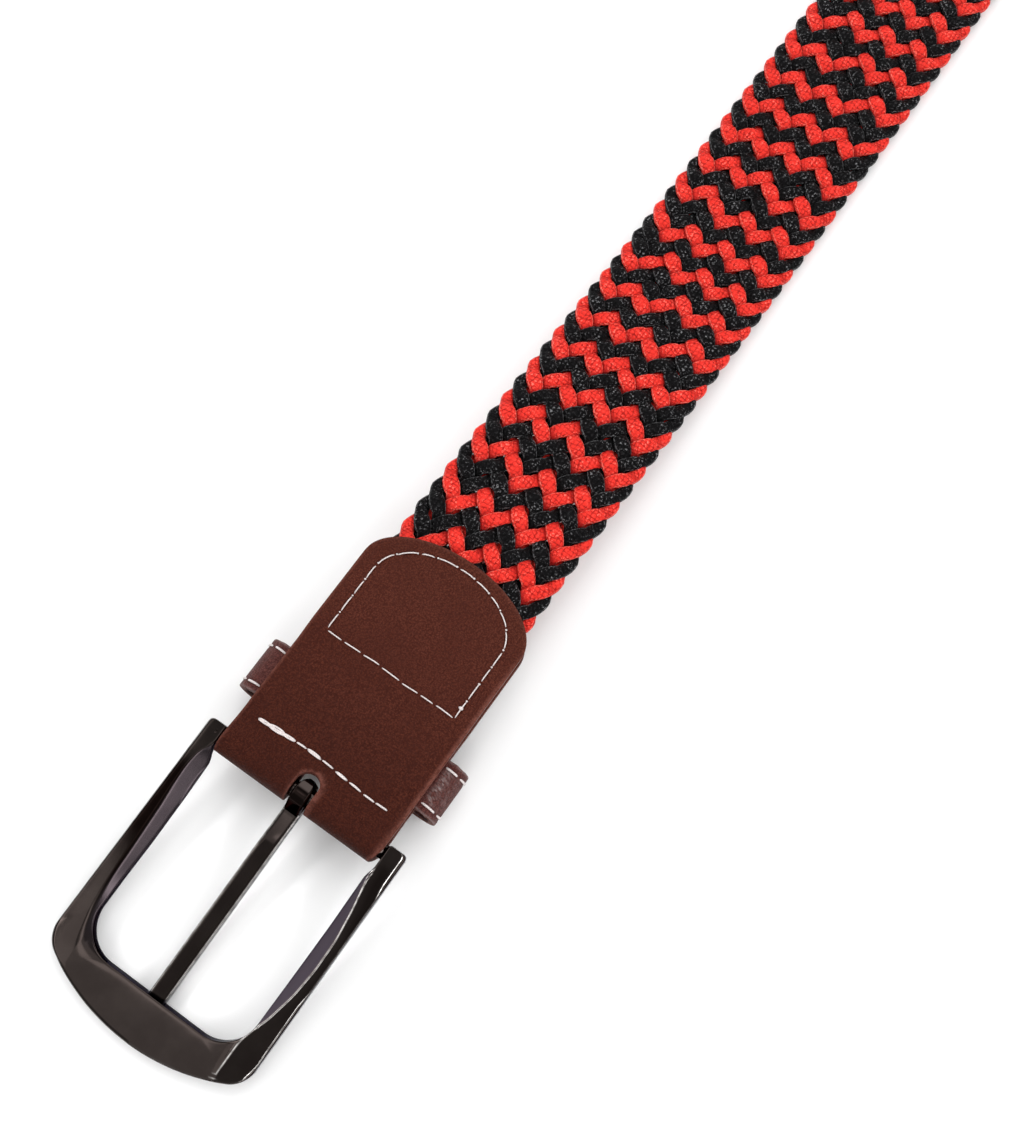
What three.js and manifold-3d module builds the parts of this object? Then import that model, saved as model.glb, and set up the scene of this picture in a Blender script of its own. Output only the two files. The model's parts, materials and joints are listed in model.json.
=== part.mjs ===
// A braided belt with a leather tab, a keeper loop and a prong buckle, lying straight with its back side up.
// Millimetres, +Z up. X runs along the belt, buckle at -X and tip at +X. Y runs across it.
// While the pieces are drawn, x = 0 is the fold of the leather tab. The group then centres the belt on the origin.

import * as THREE from "three";
import { mergeVertices } from "three/addons/utils/BufferGeometryUtils.js";
import Module from "manifold-3d";

const wasm = await Module();
wasm.setup();

// Driving dimensions of the whole belt
const beltLength = 1050; // outer edge of the front bar to the end of the tip
const clearance = 0.3; // gap between pieces that touch

// Leather tab
const tabWidth = 35;
const tabLength = 54.4; // fold to the top of the round end
const tabStraight = 45; // fold to where the round end starts
const leather = 1.3; // thickness of one layer
const slotWidth = 4.5; // for the prong's curl
const slotEnd = { back: 6.6, front: 8.0 }; // longer where the prong swings away
const tabStep = 1.5; // between the side view's points
// Half the gap between the two layers, from the fold: round the hinge bar, drawn in by a seam,
// just clear of the keeper, and opened by the braid
const layerGaps = [
  { x: 3, half: 1.7 },
  { x: 9, half: 0.9 },
  { x: 12, half: 1.0 },
  { x: 24, half: 1.0 },
  { x: 30, half: 1.7 },
  { x: 54.4, half: 1.7 },
];

// Keeper loop
const keeperLeather = 1.4;
const keeperNear = 12.3; // from the fold to its edge nearer the buckle
const keeperWidth = 10.6; // along the belt
const keeperHalf = 21.4; // from the belt's middle to the outside of its bulge
const strapRoom = 4.6; // clear height for the belt's own end

// Buckle frame, drawn in its own plane: a runs from the hinge bar to the front bar, b across the belt
const hingeRadius = 1.4;
const armEnd = -1.7; // a of the arms' free ends
const armOuter = { atHinge: 21.2, atCorner: 21.6 }; // b of the arms' outer sides
const armInner = { atHinge: 18.0, atCorner: 17.2 }; // b of the arms' inner sides
const frontOuter = 51.9; // a of the front bar's outer edge on the middle line
const frontBow = 41; // radius of that edge
const outerCorner = 5;
const frontInner = 42.6; // a of the front bar's inner edge
const innerCorner = 7;
const frameThick = { arm: 3.4, front: 3.6 };

// Prong
const prongWidth = 3.4;
const prongReach = 46.7; // hinge bar to tip, level
const prongThick = { root: 2.0, tip: 1.6 };
const curlWall = 1.3;
const tipLift = 0.1; // lowest point of the prong above the ground

// Braided band
const bandHalf = 16;
const bandThick = { free: 3.4, held: 2.8 }; // held between leather layers
const edgePitch = 4.2; // one cord's turn at the edge to the next
const scallop = 0.8; // depth of the notch between two turns
const turnShares = [0.15, 0.5, 0.85]; // rings of one pitch: a turn's two shoulders round a notch
const bandStart = 30; // from the fold, inside the tab
const dropStart = 58; // where the band leaves the tab's height
const dropEnd = 150; // where it lies flat on the ground
const edgeRound = 1.3; // how far the flat faces stay inside the edge

// Leather tip
const tipLength = 60;
const tipPocket = 22; // how far the band goes in
const tipRound = 22; // length of its round end
const tipRise = 16; // length over which the band climbs into the tip
const tipTaper = 10; // length over which the two layers close on each other

// Colours, roughness and metalness
const look = {
  blackNickel: new THREE.MeshStandardMaterial({ color: 0x3c3835, roughness: 0.25, metalness: 0.9 }),
  brownLeather: new THREE.MeshStandardMaterial({ color: 0x50261c, roughness: 0.55, metalness: 0 }),
  redBraid: new THREE.MeshStandardMaterial({ color: 0xd8352a, roughness: 0.85, metalness: 0 }),
};

// Sizes that follow
const openedAt = layerGaps.at(-2).x; // from here the tab's layers are level
const foldRadius = leather + layerGaps[0].half;
const keeperHeight = keeperLeather + strapRoom + leather + clearance + keeperLeather;
const hinge = { x: foldRadius, z: keeperHeight - keeperLeather / 2 };
const frameLow = { a: frontOuter - 1, h: frameThick.front / 2 }; // the edge that stands on the ground
const frameSlope =
  Math.asin(hinge.z / Math.hypot(frameLow.a, frameLow.h)) - Math.atan2(frameLow.h, frameLow.a);
const beltFront = hinge.x - frontOuter * Math.cos(frameSlope);
const beltBack = beltFront + beltLength;
const tipStart = beltBack - tipLength;
const bandEnd = tipStart + tipPocket;

// A closed mesh as a manifold solid.
function solid(geometry) {
  const bare = geometry.clone();
  bare.deleteAttribute("normal");
  bare.deleteAttribute("uv");
  const merged = mergeVertices(bare, 1e-4);
  return new wasm.Manifold(
    new wasm.Mesh({
      numProp: 3,
      vertProperties: merged.attributes.position.array,
      triVerts: new Uint32Array(merged.index.array),
    }),
  );
}

// A manifold solid as a mesh.
function geometryOf(made) {
  const mesh = made.getMesh();
  const geometry = new THREE.BufferGeometry();
  geometry.setAttribute("position", new THREE.BufferAttribute(mesh.vertProperties, 3));
  geometry.setIndex(new THREE.BufferAttribute(mesh.triVerts, 1));
  const faceted = geometry.toNonIndexed();
  faceted.computeVertexNormals();
  return faceted;
}

// Extrudes an outline drawn in x and y upwards from one height to another.
function standing(shape, low, high) {
  const geometry = new THREE.ExtrudeGeometry(shape, {
    depth: high - low,
    bevelEnabled: false,
    curveSegments: 16,
  });
  return geometry.translate(0, 0, low);
}

// Extrudes a side view, drawn in x and z, across the belt's middle.
function across(shape, width, segments = 12) {
  const geometry = new THREE.ExtrudeGeometry(shape, {
    depth: width,
    bevelEnabled: false,
    curveSegments: segments,
  });
  return geometry.translate(0, 0, -width / 2).rotateX(Math.PI / 2);
}

// Joins rings of equal point counts into one closed body. The first and last ring are convex and get flat caps.
function loft(rings) {
  const count = rings[0].length;
  const index = [];
  for (let r = 0; r + 1 < rings.length; r++) {
    for (let i = 0; i < count; i++) {
      const next = (i + 1) % count;
      const here = r * count;
      const there = here + count;
      index.push(here + i, here + next, there + next, here + i, there + next, there + i);
    }
  }
  const last = (rings.length - 1) * count;
  for (let i = 1; i + 1 < count; i++) {
    index.push(0, i + 1, i, last, last + i, last + i + 1);
  }
  const geometry = new THREE.BufferGeometry();
  geometry.setAttribute("position", new THREE.Float32BufferAttribute(rings.flat(2), 3));
  geometry.setIndex(index);
  const faceted = geometry.toNonIndexed();
  faceted.computeVertexNormals();
  return faceted;
}

const mix = THREE.MathUtils.lerp;
const smooth = THREE.MathUtils.smoothstep;

// Half the gap between the tab's layers at x, eased from one row of the table to the next.
function halfGap(x) {
  const next = Math.max(1, layerGaps.findIndex((row) => row.x >= x));
  const from = layerGaps[next - 1];
  const to = layerGaps[next];
  return mix(from.half, to.half, smooth(x, from.x, to.x));
}

// Leather tab: a strip folded round the hinge bar, trimmed to its round end and slotted for the prong.
function makeTab() {
  const stations = [];
  for (let x = hinge.x; x < openedAt; x += tabStep) stations.push(x);
  stations.push(openedAt, tabLength);
  const run = (sign, extra, order) =>
    order.map((x) => new THREE.Vector2(x, hinge.z + sign * (halfGap(x) + extra)));
  const away = stations.slice(1);
  const back = away.toReversed();
  const side = new THREE.Shape(run(-1, leather, [...back, hinge.x]));
  side.absarc(hinge.x, hinge.z, foldRadius, -Math.PI / 2, Math.PI / 2, true);
  for (const point of run(1, leather, away)) side.lineTo(point.x, point.y);
  for (const point of run(1, 0, [...back, hinge.x])) side.lineTo(point.x, point.y);
  side.absarc(hinge.x, hinge.z, foldRadius - leather, Math.PI / 2, -Math.PI / 2, false);
  for (const point of run(-1, 0, away)) side.lineTo(point.x, point.y);
  side.closePath();

  const outline = roundEnded(-1, tabStraight, tabLength, tabWidth / 2);
  const low = hinge.z - foldRadius - 1;
  const high = hinge.z + foldRadius + 1;
  const cutSlot = (end, from, to) =>
    solid(standing(roundEnded(-1, end - slotWidth / 2, end, slotWidth / 2), from, to));
  const made = solid(across(side, tabWidth + 2))
    .intersect(solid(standing(outline, low, high)))
    .subtract(cutSlot(slotEnd.front, low, hinge.z + clearance))
    .subtract(cutSlot(slotEnd.back, hinge.z, high));
  return new THREE.Mesh(geometryOf(made), look.brownLeather);
}

// A plan outline with parallel sides and a round end, half an ellipse.
function roundEnded(start, straightEnd, end, half) {
  const shape = new THREE.Shape();
  shape.moveTo(start, -half);
  shape.lineTo(straightEnd, -half);
  shape.absellipse(straightEnd, 0, end - straightEnd, half, -Math.PI / 2, Math.PI / 2, false, 0);
  shape.lineTo(start, half);
  shape.closePath();
  return shape;
}

// Keeper loop: a band of leather bent into a flat ring, whose upper run passes between the tab's layers.
function makeKeeper() {
  const radius = keeperHeight / 2;
  const ring = flatRing(keeperHalf - radius, radius, radius);
  ring.holes.push(flatRing(keeperHalf - radius, radius, radius - keeperLeather));
  const geometry = new THREE.ExtrudeGeometry(ring, {
    depth: keeperWidth,
    bevelEnabled: false,
    curveSegments: 14,
  });
  const turned = new THREE.Matrix4().makeBasis(
    new THREE.Vector3(0, 1, 0),
    new THREE.Vector3(0, 0, 1),
    new THREE.Vector3(1, 0, 0),
  );
  geometry.applyMatrix4(turned).translate(keeperNear, 0, 0);
  return new THREE.Mesh(geometry, look.brownLeather);
}

// Two half rounds joined by straight runs, drawn in y and z.
function flatRing(straight, middle, radius) {
  const shape = new THREE.Shape();
  shape.moveTo(-straight, middle - radius);
  shape.lineTo(straight, middle - radius);
  shape.absarc(straight, middle, radius, -Math.PI / 2, Math.PI / 2, false);
  shape.lineTo(-straight, middle + radius);
  shape.absarc(-straight, middle, radius, Math.PI / 2, (3 * Math.PI) / 2, false);
  return shape;
}

// Half of the buckle frame's outer and inner outlines, from an arm's free end to the middle of the front bar.
function frameStations() {
  const armSteps = 6;
  const cornerSteps = 8;
  const frontSteps = 5;
  const stations = [];

  const bowCentre = frontOuter - frontBow;
  const outerB = armOuter.atCorner - outerCorner;
  const outerA = bowCentre + Math.sqrt((frontBow - outerCorner) ** 2 - outerB ** 2);
  const bowAngle = Math.atan2(outerB, outerA - bowCentre);
  const innerA = frontInner - innerCorner;
  const innerB = armInner.atCorner - innerCorner;

  for (let i = 0; i < armSteps; i++) {
    const t = i / armSteps;
    stations.push({
      outer: [mix(armEnd, outerA, t), mix(armOuter.atHinge, armOuter.atCorner, t)],
      inner: [mix(armEnd, innerA, t), mix(armInner.atHinge, armInner.atCorner, t)],
      thick: frameThick.arm,
    });
  }
  for (let i = 0; i < cornerSteps; i++) {
    const t = i / cornerSteps;
    const outerTurn = mix(Math.PI / 2, bowAngle, t);
    const innerTurn = mix(Math.PI / 2, 0, t);
    stations.push({
      outer: [outerA + outerCorner * Math.cos(outerTurn), outerB + outerCorner * Math.sin(outerTurn)],
      inner: [innerA + innerCorner * Math.cos(innerTurn), innerB + innerCorner * Math.sin(innerTurn)],
      thick: mix(frameThick.arm, frameThick.front, t),
    });
  }
  for (let i = 0; i <= frontSteps; i++) {
    const t = i / frontSteps;
    const bow = mix(bowAngle, 0, t);
    stations.push({
      outer: [bowCentre + frontBow * Math.cos(bow), frontBow * Math.sin(bow)],
      inner: [frontInner, mix(innerB, 0, t)],
      thick: frameThick.front,
    });
  }
  return stations;
}

// The frame's section between its inner and outer side: share of the width, and height as a share of half the thickness.
const frameSection = [
  { across: 0, height: -0.7 },
  { across: 0, height: 0.1 },
  { across: 0.3, height: 1 },
  { across: 0.72, height: 1 },
  { across: 1, height: 0.4 },
  { across: 1, height: -0.7 },
  { across: 0.88, height: -1 },
  { across: 0.12, height: -1 },
];

// A point of the buckle's plane, a from the hinge bar and h above it, in the belt's frame.
function onFrame(a, b, h) {
  const c = Math.cos(frameSlope);
  const s = Math.sin(frameSlope);
  return [hinge.x - a * c - h * s, b, hinge.z - a * s + h * c];
}

// The prong's upper and lower lines, straight from under the hinge bar to the tip.
const prongRoot = hinge.z - hingeRadius - clearance - curlWall;
const prongTip = hinge.x - prongReach;
function prongLow(x) {
  return mix(tipLift, prongRoot, (x - prongTip) / prongReach);
}
function prongHigh(x) {
  return prongLow(x) + mix(prongThick.tip, prongThick.root, (x - prongTip) / prongReach);
}

// Buckle frame: the bent bar with its facets, the hinge bar across its open end, and a notch for the prong's tip.
function makeFrame() {
  const half = frameStations();
  const middle = half.length - 1;
  const rings = [];
  for (let i = 0; i <= 2 * middle; i++) {
    const station = half[i <= middle ? i : 2 * middle - i];
    const side = i <= middle ? 1 : -1;
    rings.push(
      frameSection.map((point) => {
        const a = mix(station.inner[0], station.outer[0], point.across);
        const b = mix(station.inner[1], station.outer[1], point.across);
        return onFrame(a, side * b, (point.height * station.thick) / 2);
      }),
    );
  }
  const barLength = 2 * mix(armInner.atHinge, armOuter.atHinge, 0.5);
  const bar = new THREE.CylinderGeometry(hingeRadius, hingeRadius, barLength, 20);
  bar.translate(hinge.x, 0, 0).translate(0, 0, hinge.z);

  const notchStart = hinge.x - frontInner + 4;
  const notchEnd = prongTip - 2 * clearance;
  const notch = new THREE.Shape();
  notch.moveTo(notchStart, -1);
  notch.lineTo(notchStart, prongHigh(notchStart) + clearance);
  notch.lineTo(notchEnd, prongHigh(notchEnd) + clearance);
  notch.lineTo(notchEnd, -1);
  notch.closePath();
  const made = solid(loft(rings))
    .add(solid(bar))
    .subtract(solid(across(notch, prongWidth + 2 * clearance)));
  return new THREE.Mesh(geometryOf(made), look.blackNickel);
}

// Prong: an eye round the hinge bar and a flat bar that runs on from its underside.
function makeProng() {
  const eyeRadius = hingeRadius + clearance + curlWall;
  const eye = new THREE.Shape().absarc(hinge.x, hinge.z, eyeRadius, 0, 2 * Math.PI, false);
  eye.holes.push(new THREE.Path().absarc(hinge.x, hinge.z, hingeRadius + clearance, 0, 2 * Math.PI, true));

  const tipRadius = prongThick.tip / 2;
  const bar = new THREE.Shape();
  bar.moveTo(hinge.x, prongLow(hinge.x));
  bar.lineTo(hinge.x, hinge.z - hingeRadius - clearance - 0.1);
  bar.lineTo(hinge.x - eyeRadius, prongHigh(hinge.x - eyeRadius));
  bar.lineTo(prongTip + tipRadius, prongHigh(prongTip + tipRadius));
  bar.lineTo(prongTip, prongLow(prongTip) + tipRadius);
  bar.lineTo(prongTip + tipRadius, prongLow(prongTip + tipRadius));
  bar.closePath();
  const made = solid(across(eye, prongWidth, 24)).add(solid(across(bar, prongWidth)));
  return new THREE.Mesh(geometryOf(made), look.blackNickel);
}

// The band's underside and thickness at x: held in the tab, dropping to the ground, then climbing into the tip.
function bandUnder(x) {
  const inTab = hinge.z - bandThick.held / 2;
  const inTip = leather + clearance;
  const drop = 1 - smooth(x, dropStart, dropEnd);
  const climb = smooth(x, tipStart - tipRise, tipStart);
  return inTab * drop + inTip * climb;
}
function bandHeight(x) {
  const freed = smooth(x, tabLength - 2, tabLength + 6) * (1 - smooth(x, tipStart - 8, tipStart));
  return mix(bandThick.held, bandThick.free, freed);
}

// Braided band: its edges are scalloped where the cords turn.
function makeBand() {
  const turns = Math.round((bandEnd - bandStart) / edgePitch);
  const flat = bandHalf - edgeRound;
  const rings = [];
  for (let turn = 0; turn < turns; turn++) {
    for (const share of turnShares) {
      const x = mix(bandStart, bandEnd, (turn + share) / turns);
      const low = bandUnder(x);
      const high = low + bandHeight(x);
      const middle = (low + high) / 2;
      const edge = bandHalf - (share === 0.5 ? scallop : 0);
      rings.push([
        [x, flat, low],
        [x, edge, middle],
        [x, flat, high],
        [x, -flat, high],
        [x, -edge, middle],
        [x, -flat, low],
      ]);
    }
  }
  return new THREE.Mesh(loft(rings), look.redBraid);
}

// Leather tip: two layers that hold the band's end, close on each other and end in a round point.
function makeTip() {
  const top = 2 * (leather + clearance) + bandThick.held;
  const closed = bandEnd + clearance;
  const flatStart = closed + tipTaper;
  const side = new THREE.Shape();
  side.moveTo(tipStart, 0);
  side.lineTo(beltBack + 1, 0);
  side.lineTo(beltBack + 1, 2 * leather);
  side.lineTo(flatStart, 2 * leather);
  side.bezierCurveTo(mix(closed, flatStart, 0.5), 2 * leather, mix(closed, flatStart, 0.5), top, closed, top);
  side.lineTo(tipStart, top);
  side.lineTo(tipStart, top - leather);
  side.lineTo(closed, top - leather);
  side.lineTo(mix(closed, flatStart, 0.5), leather);
  side.lineTo(tipStart, leather);
  side.closePath();
  const outline = roundEnded(tipStart - 1, beltBack - tipRound, beltBack, tabWidth / 2);
  const made = solid(across(side, tabWidth + 2)).intersect(solid(standing(outline, -1, top + 1)));
  return new THREE.Mesh(geometryOf(made), look.brownLeather);
}

const belt = new THREE.Group();
const pieces = {
  leather_tab: makeTab(),
  keeper_loop: makeKeeper(),
  buckle_frame: makeFrame(),
  prong: makeProng(),
  braid_band: makeBand(),
  leather_tip: makeTip(),
};
for (const [name, mesh] of Object.entries(pieces)) {
  mesh.name = name;
  belt.add(mesh);
}
belt.position.x = -(beltFront + beltBack) / 2;

export default belt;
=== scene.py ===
# A braided belt, back side up: flat braid, leather tab, keeper loop, prong buckle and leather tip.
# Lengths are in millimetres from the tab's fold (x = 0) until a mesh is made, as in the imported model.
import json
import math

import bpy
import numpy as np
from mathutils import Matrix, Vector
from mathutils.geometry import delaunay_2d_cdt


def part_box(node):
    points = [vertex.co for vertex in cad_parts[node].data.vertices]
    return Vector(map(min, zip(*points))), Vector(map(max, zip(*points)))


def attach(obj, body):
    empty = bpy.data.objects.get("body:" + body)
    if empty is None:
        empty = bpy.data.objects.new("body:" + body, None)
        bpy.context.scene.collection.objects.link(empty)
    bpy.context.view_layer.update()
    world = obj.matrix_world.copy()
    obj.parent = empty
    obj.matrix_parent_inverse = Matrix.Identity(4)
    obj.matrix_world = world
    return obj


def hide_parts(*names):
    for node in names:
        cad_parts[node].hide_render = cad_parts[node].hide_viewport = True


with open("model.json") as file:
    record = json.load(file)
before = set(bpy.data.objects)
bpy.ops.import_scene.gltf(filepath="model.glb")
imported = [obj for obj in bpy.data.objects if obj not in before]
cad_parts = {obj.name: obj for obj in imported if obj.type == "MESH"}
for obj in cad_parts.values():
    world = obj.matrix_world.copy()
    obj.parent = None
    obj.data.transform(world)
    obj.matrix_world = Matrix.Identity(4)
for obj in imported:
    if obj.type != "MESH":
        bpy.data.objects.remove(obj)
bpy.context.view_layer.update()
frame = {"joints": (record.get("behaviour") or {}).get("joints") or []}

mm = 0.001
foldAt = np.array([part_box("leather_tab")[0].x, 0, 0])  # the tab's fold in the shared frame
swing = next(joint for joint in frame["joints"] if joint["name"] == "frame_swing")
hingeX, _, hingeZ = (np.array(swing["pos_m"]) - foldAt) / mm
random = np.random.default_rng(17)


def smooth(x, low, high):
    t = np.clip((np.asarray(x, float) - low) / (high - low), 0, 1)
    return t * t * (3 - 2 * t)


def unit(vectors):
    return vectors / np.linalg.norm(vectors, axis=-1, keepdims=True)


def lengthsAlong(line):
    # the way from a line's start to each of its points
    return np.concatenate([[0], np.cumsum(np.linalg.norm(np.diff(line, axis=0), axis=1))])


# Node helpers

def feed(tree, socket, value):
    if isinstance(value, bpy.types.NodeSocket):
        tree.links.new(value, socket)
    else:
        socket.default_value = value


def calc(tree, operation, *values):
    node = tree.nodes.new("ShaderNodeMath")
    node.operation = operation
    for socket, value in zip(node.inputs, values):
        feed(tree, socket, value)
    return node.outputs[0]


def stretch(tree, value, low, high, toLow=0.0, toHigh=1.0):
    node = tree.nodes.new("ShaderNodeMapRange")
    node.interpolation_type = "SMOOTHSTEP"
    for name, given in (("Value", value), ("From Min", low), ("From Max", high),
                        ("To Min", toLow), ("To Max", toHigh)):
        feed(tree, node.inputs[name], given)
    return node.outputs[0]


def blendColours(tree, share, first, second):
    node = tree.nodes.new("ShaderNodeMix")
    node.data_type = "RGBA"
    for place, given in ((0, share), (6, first), (7, second)):
        feed(tree, node.inputs[place], given)
    return node.outputs[2]


def noise(tree, place, scale, detail=2.0, rough=0.5):
    node = tree.nodes.new("ShaderNodeTexNoise")
    for name, given in (("Vector", place), ("Scale", scale), ("Detail", detail), ("Roughness", rough)):
        feed(tree, node.inputs[name], given)
    return node.outputs[0]


def attribute(tree, name):
    node = tree.nodes.new("ShaderNodeAttribute")
    node.attribute_name = name
    return node.outputs["Fac"]


def millimetres(tree):
    # the piece's own coordinates in mm
    where = tree.nodes.new("ShaderNodeTexCoord")
    scaled = tree.nodes.new("ShaderNodeVectorMath")
    scaled.operation = "SCALE"
    tree.links.new(where.outputs["Object"], scaled.inputs[0])
    scaled.inputs["Scale"].default_value = 1 / mm
    return scaled.outputs[0]


def newGroup(name, inputs, outputs):
    tree = bpy.data.node_groups.new(name, "ShaderNodeTree")
    for label, value in inputs.items():
        kind = "NodeSocketColor" if isinstance(value, tuple) else "NodeSocketFloat"
        tree.interface.new_socket(name=label, in_out="INPUT", socket_type=kind).default_value = value
    for label, kind in outputs.items():
        tree.interface.new_socket(name=label, in_out="OUTPUT", socket_type="NodeSocket" + kind)
    return tree, tree.nodes.new("NodeGroupInput"), tree.nodes.new("NodeGroupOutput")


def placeGroup(tree, group, **values):
    node = tree.nodes.new("ShaderNodeGroup")
    node.node_tree = group
    for label, value in values.items():
        feed(tree, node.inputs[label], value)
    return node


def newMaterial(name, constants):
    material = bpy.data.materials.new(name)
    material.use_nodes = True
    shader = material.node_tree.nodes["Principled BSDF"]
    for label, value in constants.items():
        shader.inputs[label].default_value = value
    return material, material.node_tree, shader


def addBump(tree, shader, height, depth, strength=1.0):
    node = tree.nodes.new("ShaderNodeBump")
    node.inputs["Strength"].default_value = strength
    node.inputs["Distance"].default_value = depth * mm
    tree.links.new(height, node.inputs["Height"])
    tree.links.new(node.outputs[0], shader.inputs["Normal"])


# Shared surface effects

def plaitGroup():
    # threads plaited into a cord, from UVs in mm: staggered bumps, and a lighter thread line along each side
    # that is partly a painted highlight
    tree, given, made = newGroup(
        "plaitedThreads",
        {"Stitch": 0.95, "Column": 1.0, "Fuzz": 0.8, "Centre": 1.46, "Quarter": 1.825, "Side": 1.2},
        {"Height": "Float", "Fleck": "Float", "BorderHighlight": "Float"},
    )
    uv = tree.nodes.new("ShaderNodeUVMap")
    uv.uv_map = "cordUv"
    parts = tree.nodes.new("ShaderNodeSeparateXYZ")
    tree.links.new(uv.outputs[0], parts.inputs[0])
    fibre = noise(tree, uv.outputs[0], 2.6, 3.0, 0.65)
    loose = calc(tree, "MULTIPLY_ADD", noise(tree, uv.outputs[0], 1.3, 2.0), 1.3, -0.65)
    along = calc(tree, "ADD", calc(tree, "DIVIDE", parts.outputs[0], given.outputs["Stitch"]), loose)
    across = calc(tree, "DIVIDE", parts.outputs[1], given.outputs["Column"])
    waves = []
    for kind in ("ADD", "SUBTRACT"):
        diagonal = calc(tree, "MULTIPLY", calc(tree, kind, along, across), math.pi)
        waves.append(calc(tree, "ABSOLUTE", calc(tree, "SINE", diagonal)))
    net = calc(tree, "POWER", calc(tree, "MULTIPLY", waves[0], waves[1]), 0.6)
    shown = stretch(tree, noise(tree, uv.outputs[0], 0.9, 2.0), 0.36, 0.60, 0.45, 1.0)
    body = calc(tree, "MULTIPLY_ADD", calc(tree, "SUBTRACT", net, 0.75), shown, 0.75)
    rough = calc(tree, "MULTIPLY", fibre, given.outputs["Fuzz"])
    tree.links.new(calc(tree, "ADD", body, rough), made.inputs["Height"])
    patch = stretch(tree, noise(tree, uv.outputs[0], 0.55, 1.0), 0.42, 0.60, 0.1, 1.0)
    thready = calc(tree, "MULTIPLY", stretch(tree, net, 0.30, 0.8), stretch(tree, fibre, 0.52, 0.60))
    speck = calc(tree, "MULTIPLY", thready, patch)
    tree.links.new(speck, made.inputs["Fleck"])
    fromCentre = calc(tree, "PINGPONG", calc(tree, "SUBTRACT", parts.outputs[1], given.outputs["Centre"]),
                      given.outputs["Quarter"])
    away = calc(tree, "ABSOLUTE", calc(tree, "SUBTRACT", fromCentre, given.outputs["Side"]))
    line = calc(tree, "SUBTRACT", 1.0, stretch(tree, away, 0.04, 0.24))
    tree.links.new(calc(tree, "MULTIPLY", line, stretch(tree, fibre, 0.40, 0.60)), made.inputs["BorderHighlight"])
    return tree


def grainGroup():
    # leather grain: small rounded cells, fine pores and slow tone
    tree, given, made = newGroup(
        "leatherGrain",
        {"Cells": 2.0, "Pores": 7.0, "Patches": 0.12},
        {"Height": "Float", "Tone": "Float"},
    )
    place = millimetres(tree)
    cells = tree.nodes.new("ShaderNodeTexVoronoi")
    cells.feature = "SMOOTH_F1"
    tree.links.new(place, cells.inputs["Vector"])
    tree.links.new(given.outputs["Cells"], cells.inputs["Scale"])
    pores = noise(tree, place, given.outputs["Pores"], 2.0, 0.6)
    low = calc(tree, "MULTIPLY", cells.outputs["Distance"], -1.0)
    tree.links.new(calc(tree, "MULTIPLY_ADD", pores, 0.7, low), made.inputs["Height"])
    patches = noise(tree, place, given.outputs["Patches"], 3.0, 0.55)
    fine = noise(tree, place, 1.4, 2.0, 0.5)
    tree.links.new(calc(tree, "MULTIPLY_ADD", fine, 0.35, calc(tree, "MULTIPLY", patches, 0.65)),
                   made.inputs["Tone"])
    return tree


def wearAndHighlightGroup():
    # where an edge is rubbed, and where a painted highlight lies: the rim mark broken up by noise
    tree, given, made = newGroup(
        "edgeWearAndHighlight",
        {"Colour": (0.5, 0.5, 0.5, 1), "Worn": (0.8, 0.8, 0.8, 1), "Amount": 0.6, "Breakup": 1.2},
        {"Colour": "Color", "Mask": "Float"},
    )
    broken = noise(tree, millimetres(tree), given.outputs["Breakup"], 3.0, 0.6)
    soft = calc(tree, "MULTIPLY", attribute(tree, "wearAndHighlight"), stretch(tree, broken, 0.3, 0.62, 0.35, 1.0))
    mask = calc(tree, "MULTIPLY", soft, given.outputs["Amount"])
    tree.links.new(blendColours(tree, mask, given.outputs["Colour"], given.outputs["Worn"]),
                   made.inputs["Colour"])
    tree.links.new(mask, made.inputs["Mask"])
    return tree


plaitedThreads = plaitGroup()
leatherGrain = grainGroup()
edgeWearAndHighlight = wearAndHighlightGroup()


# Materials

cordLooks = {
    "braid_red": {
        "crest": (0.70, 0.026, 0.017, 1),
        "groove": (0.25, 0.004, 0.003, 1),
        "fleck": (1.0, 0.16, 0.12, 1),
        # a lighter edge thread along each side of the cord, with a painted highlight on it
        "border": (1.0, 0.26, 0.20, 1),
        # painted shade where a float dives under its neighbours
        "tuckShaded": (0.20, 0.002, 0.002, 1),
        "shine": 0.14,
        "rough": 0.5,
    },
    "braid_black": {
        "crest": (0.0035, 0.003, 0.0035, 1),
        "groove": (0.001, 0.001, 0.001, 1),
        "fleck": (0.16, 0.16, 0.165, 1),
        # a lighter edge thread along each side of the cord, with a painted highlight on it
        "border": (0.16, 0.16, 0.165, 1),
        # painted shade where a float dives under its neighbours
        "tuckShaded": (0.001, 0.001, 0.001, 1),
        "shine": 0.06,
        "rough": 0.42,
    },
}


def cordMaterial(name, look):
    constants = {"Roughness": look["rough"], "Specular IOR Level": look["shine"]}
    material, tree, shader = newMaterial(name, constants)
    threads = placeGroup(tree, plaitedThreads)
    height = threads.outputs["Height"]
    body = blendColours(tree, stretch(tree, height, 0.35, 1.15), look["groove"], look["crest"])
    flecked = blendColours(tree, threads.outputs["Fleck"], body, look["fleck"])
    # lighter edge threads, partly a painted highlight
    share = calc(tree, "MULTIPLY", threads.outputs["BorderHighlight"], 0.65)
    lined = blendColours(tree, share, flecked, look["border"])
    # painted shade at the ends of floats, where they tuck under other cords
    colour = blendColours(tree, attribute(tree, "tuckShade"), lined, look["tuckShaded"])
    tree.links.new(colour, shader.inputs["Base Color"])
    addBump(tree, shader, height, 0.13)
    return material


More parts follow.
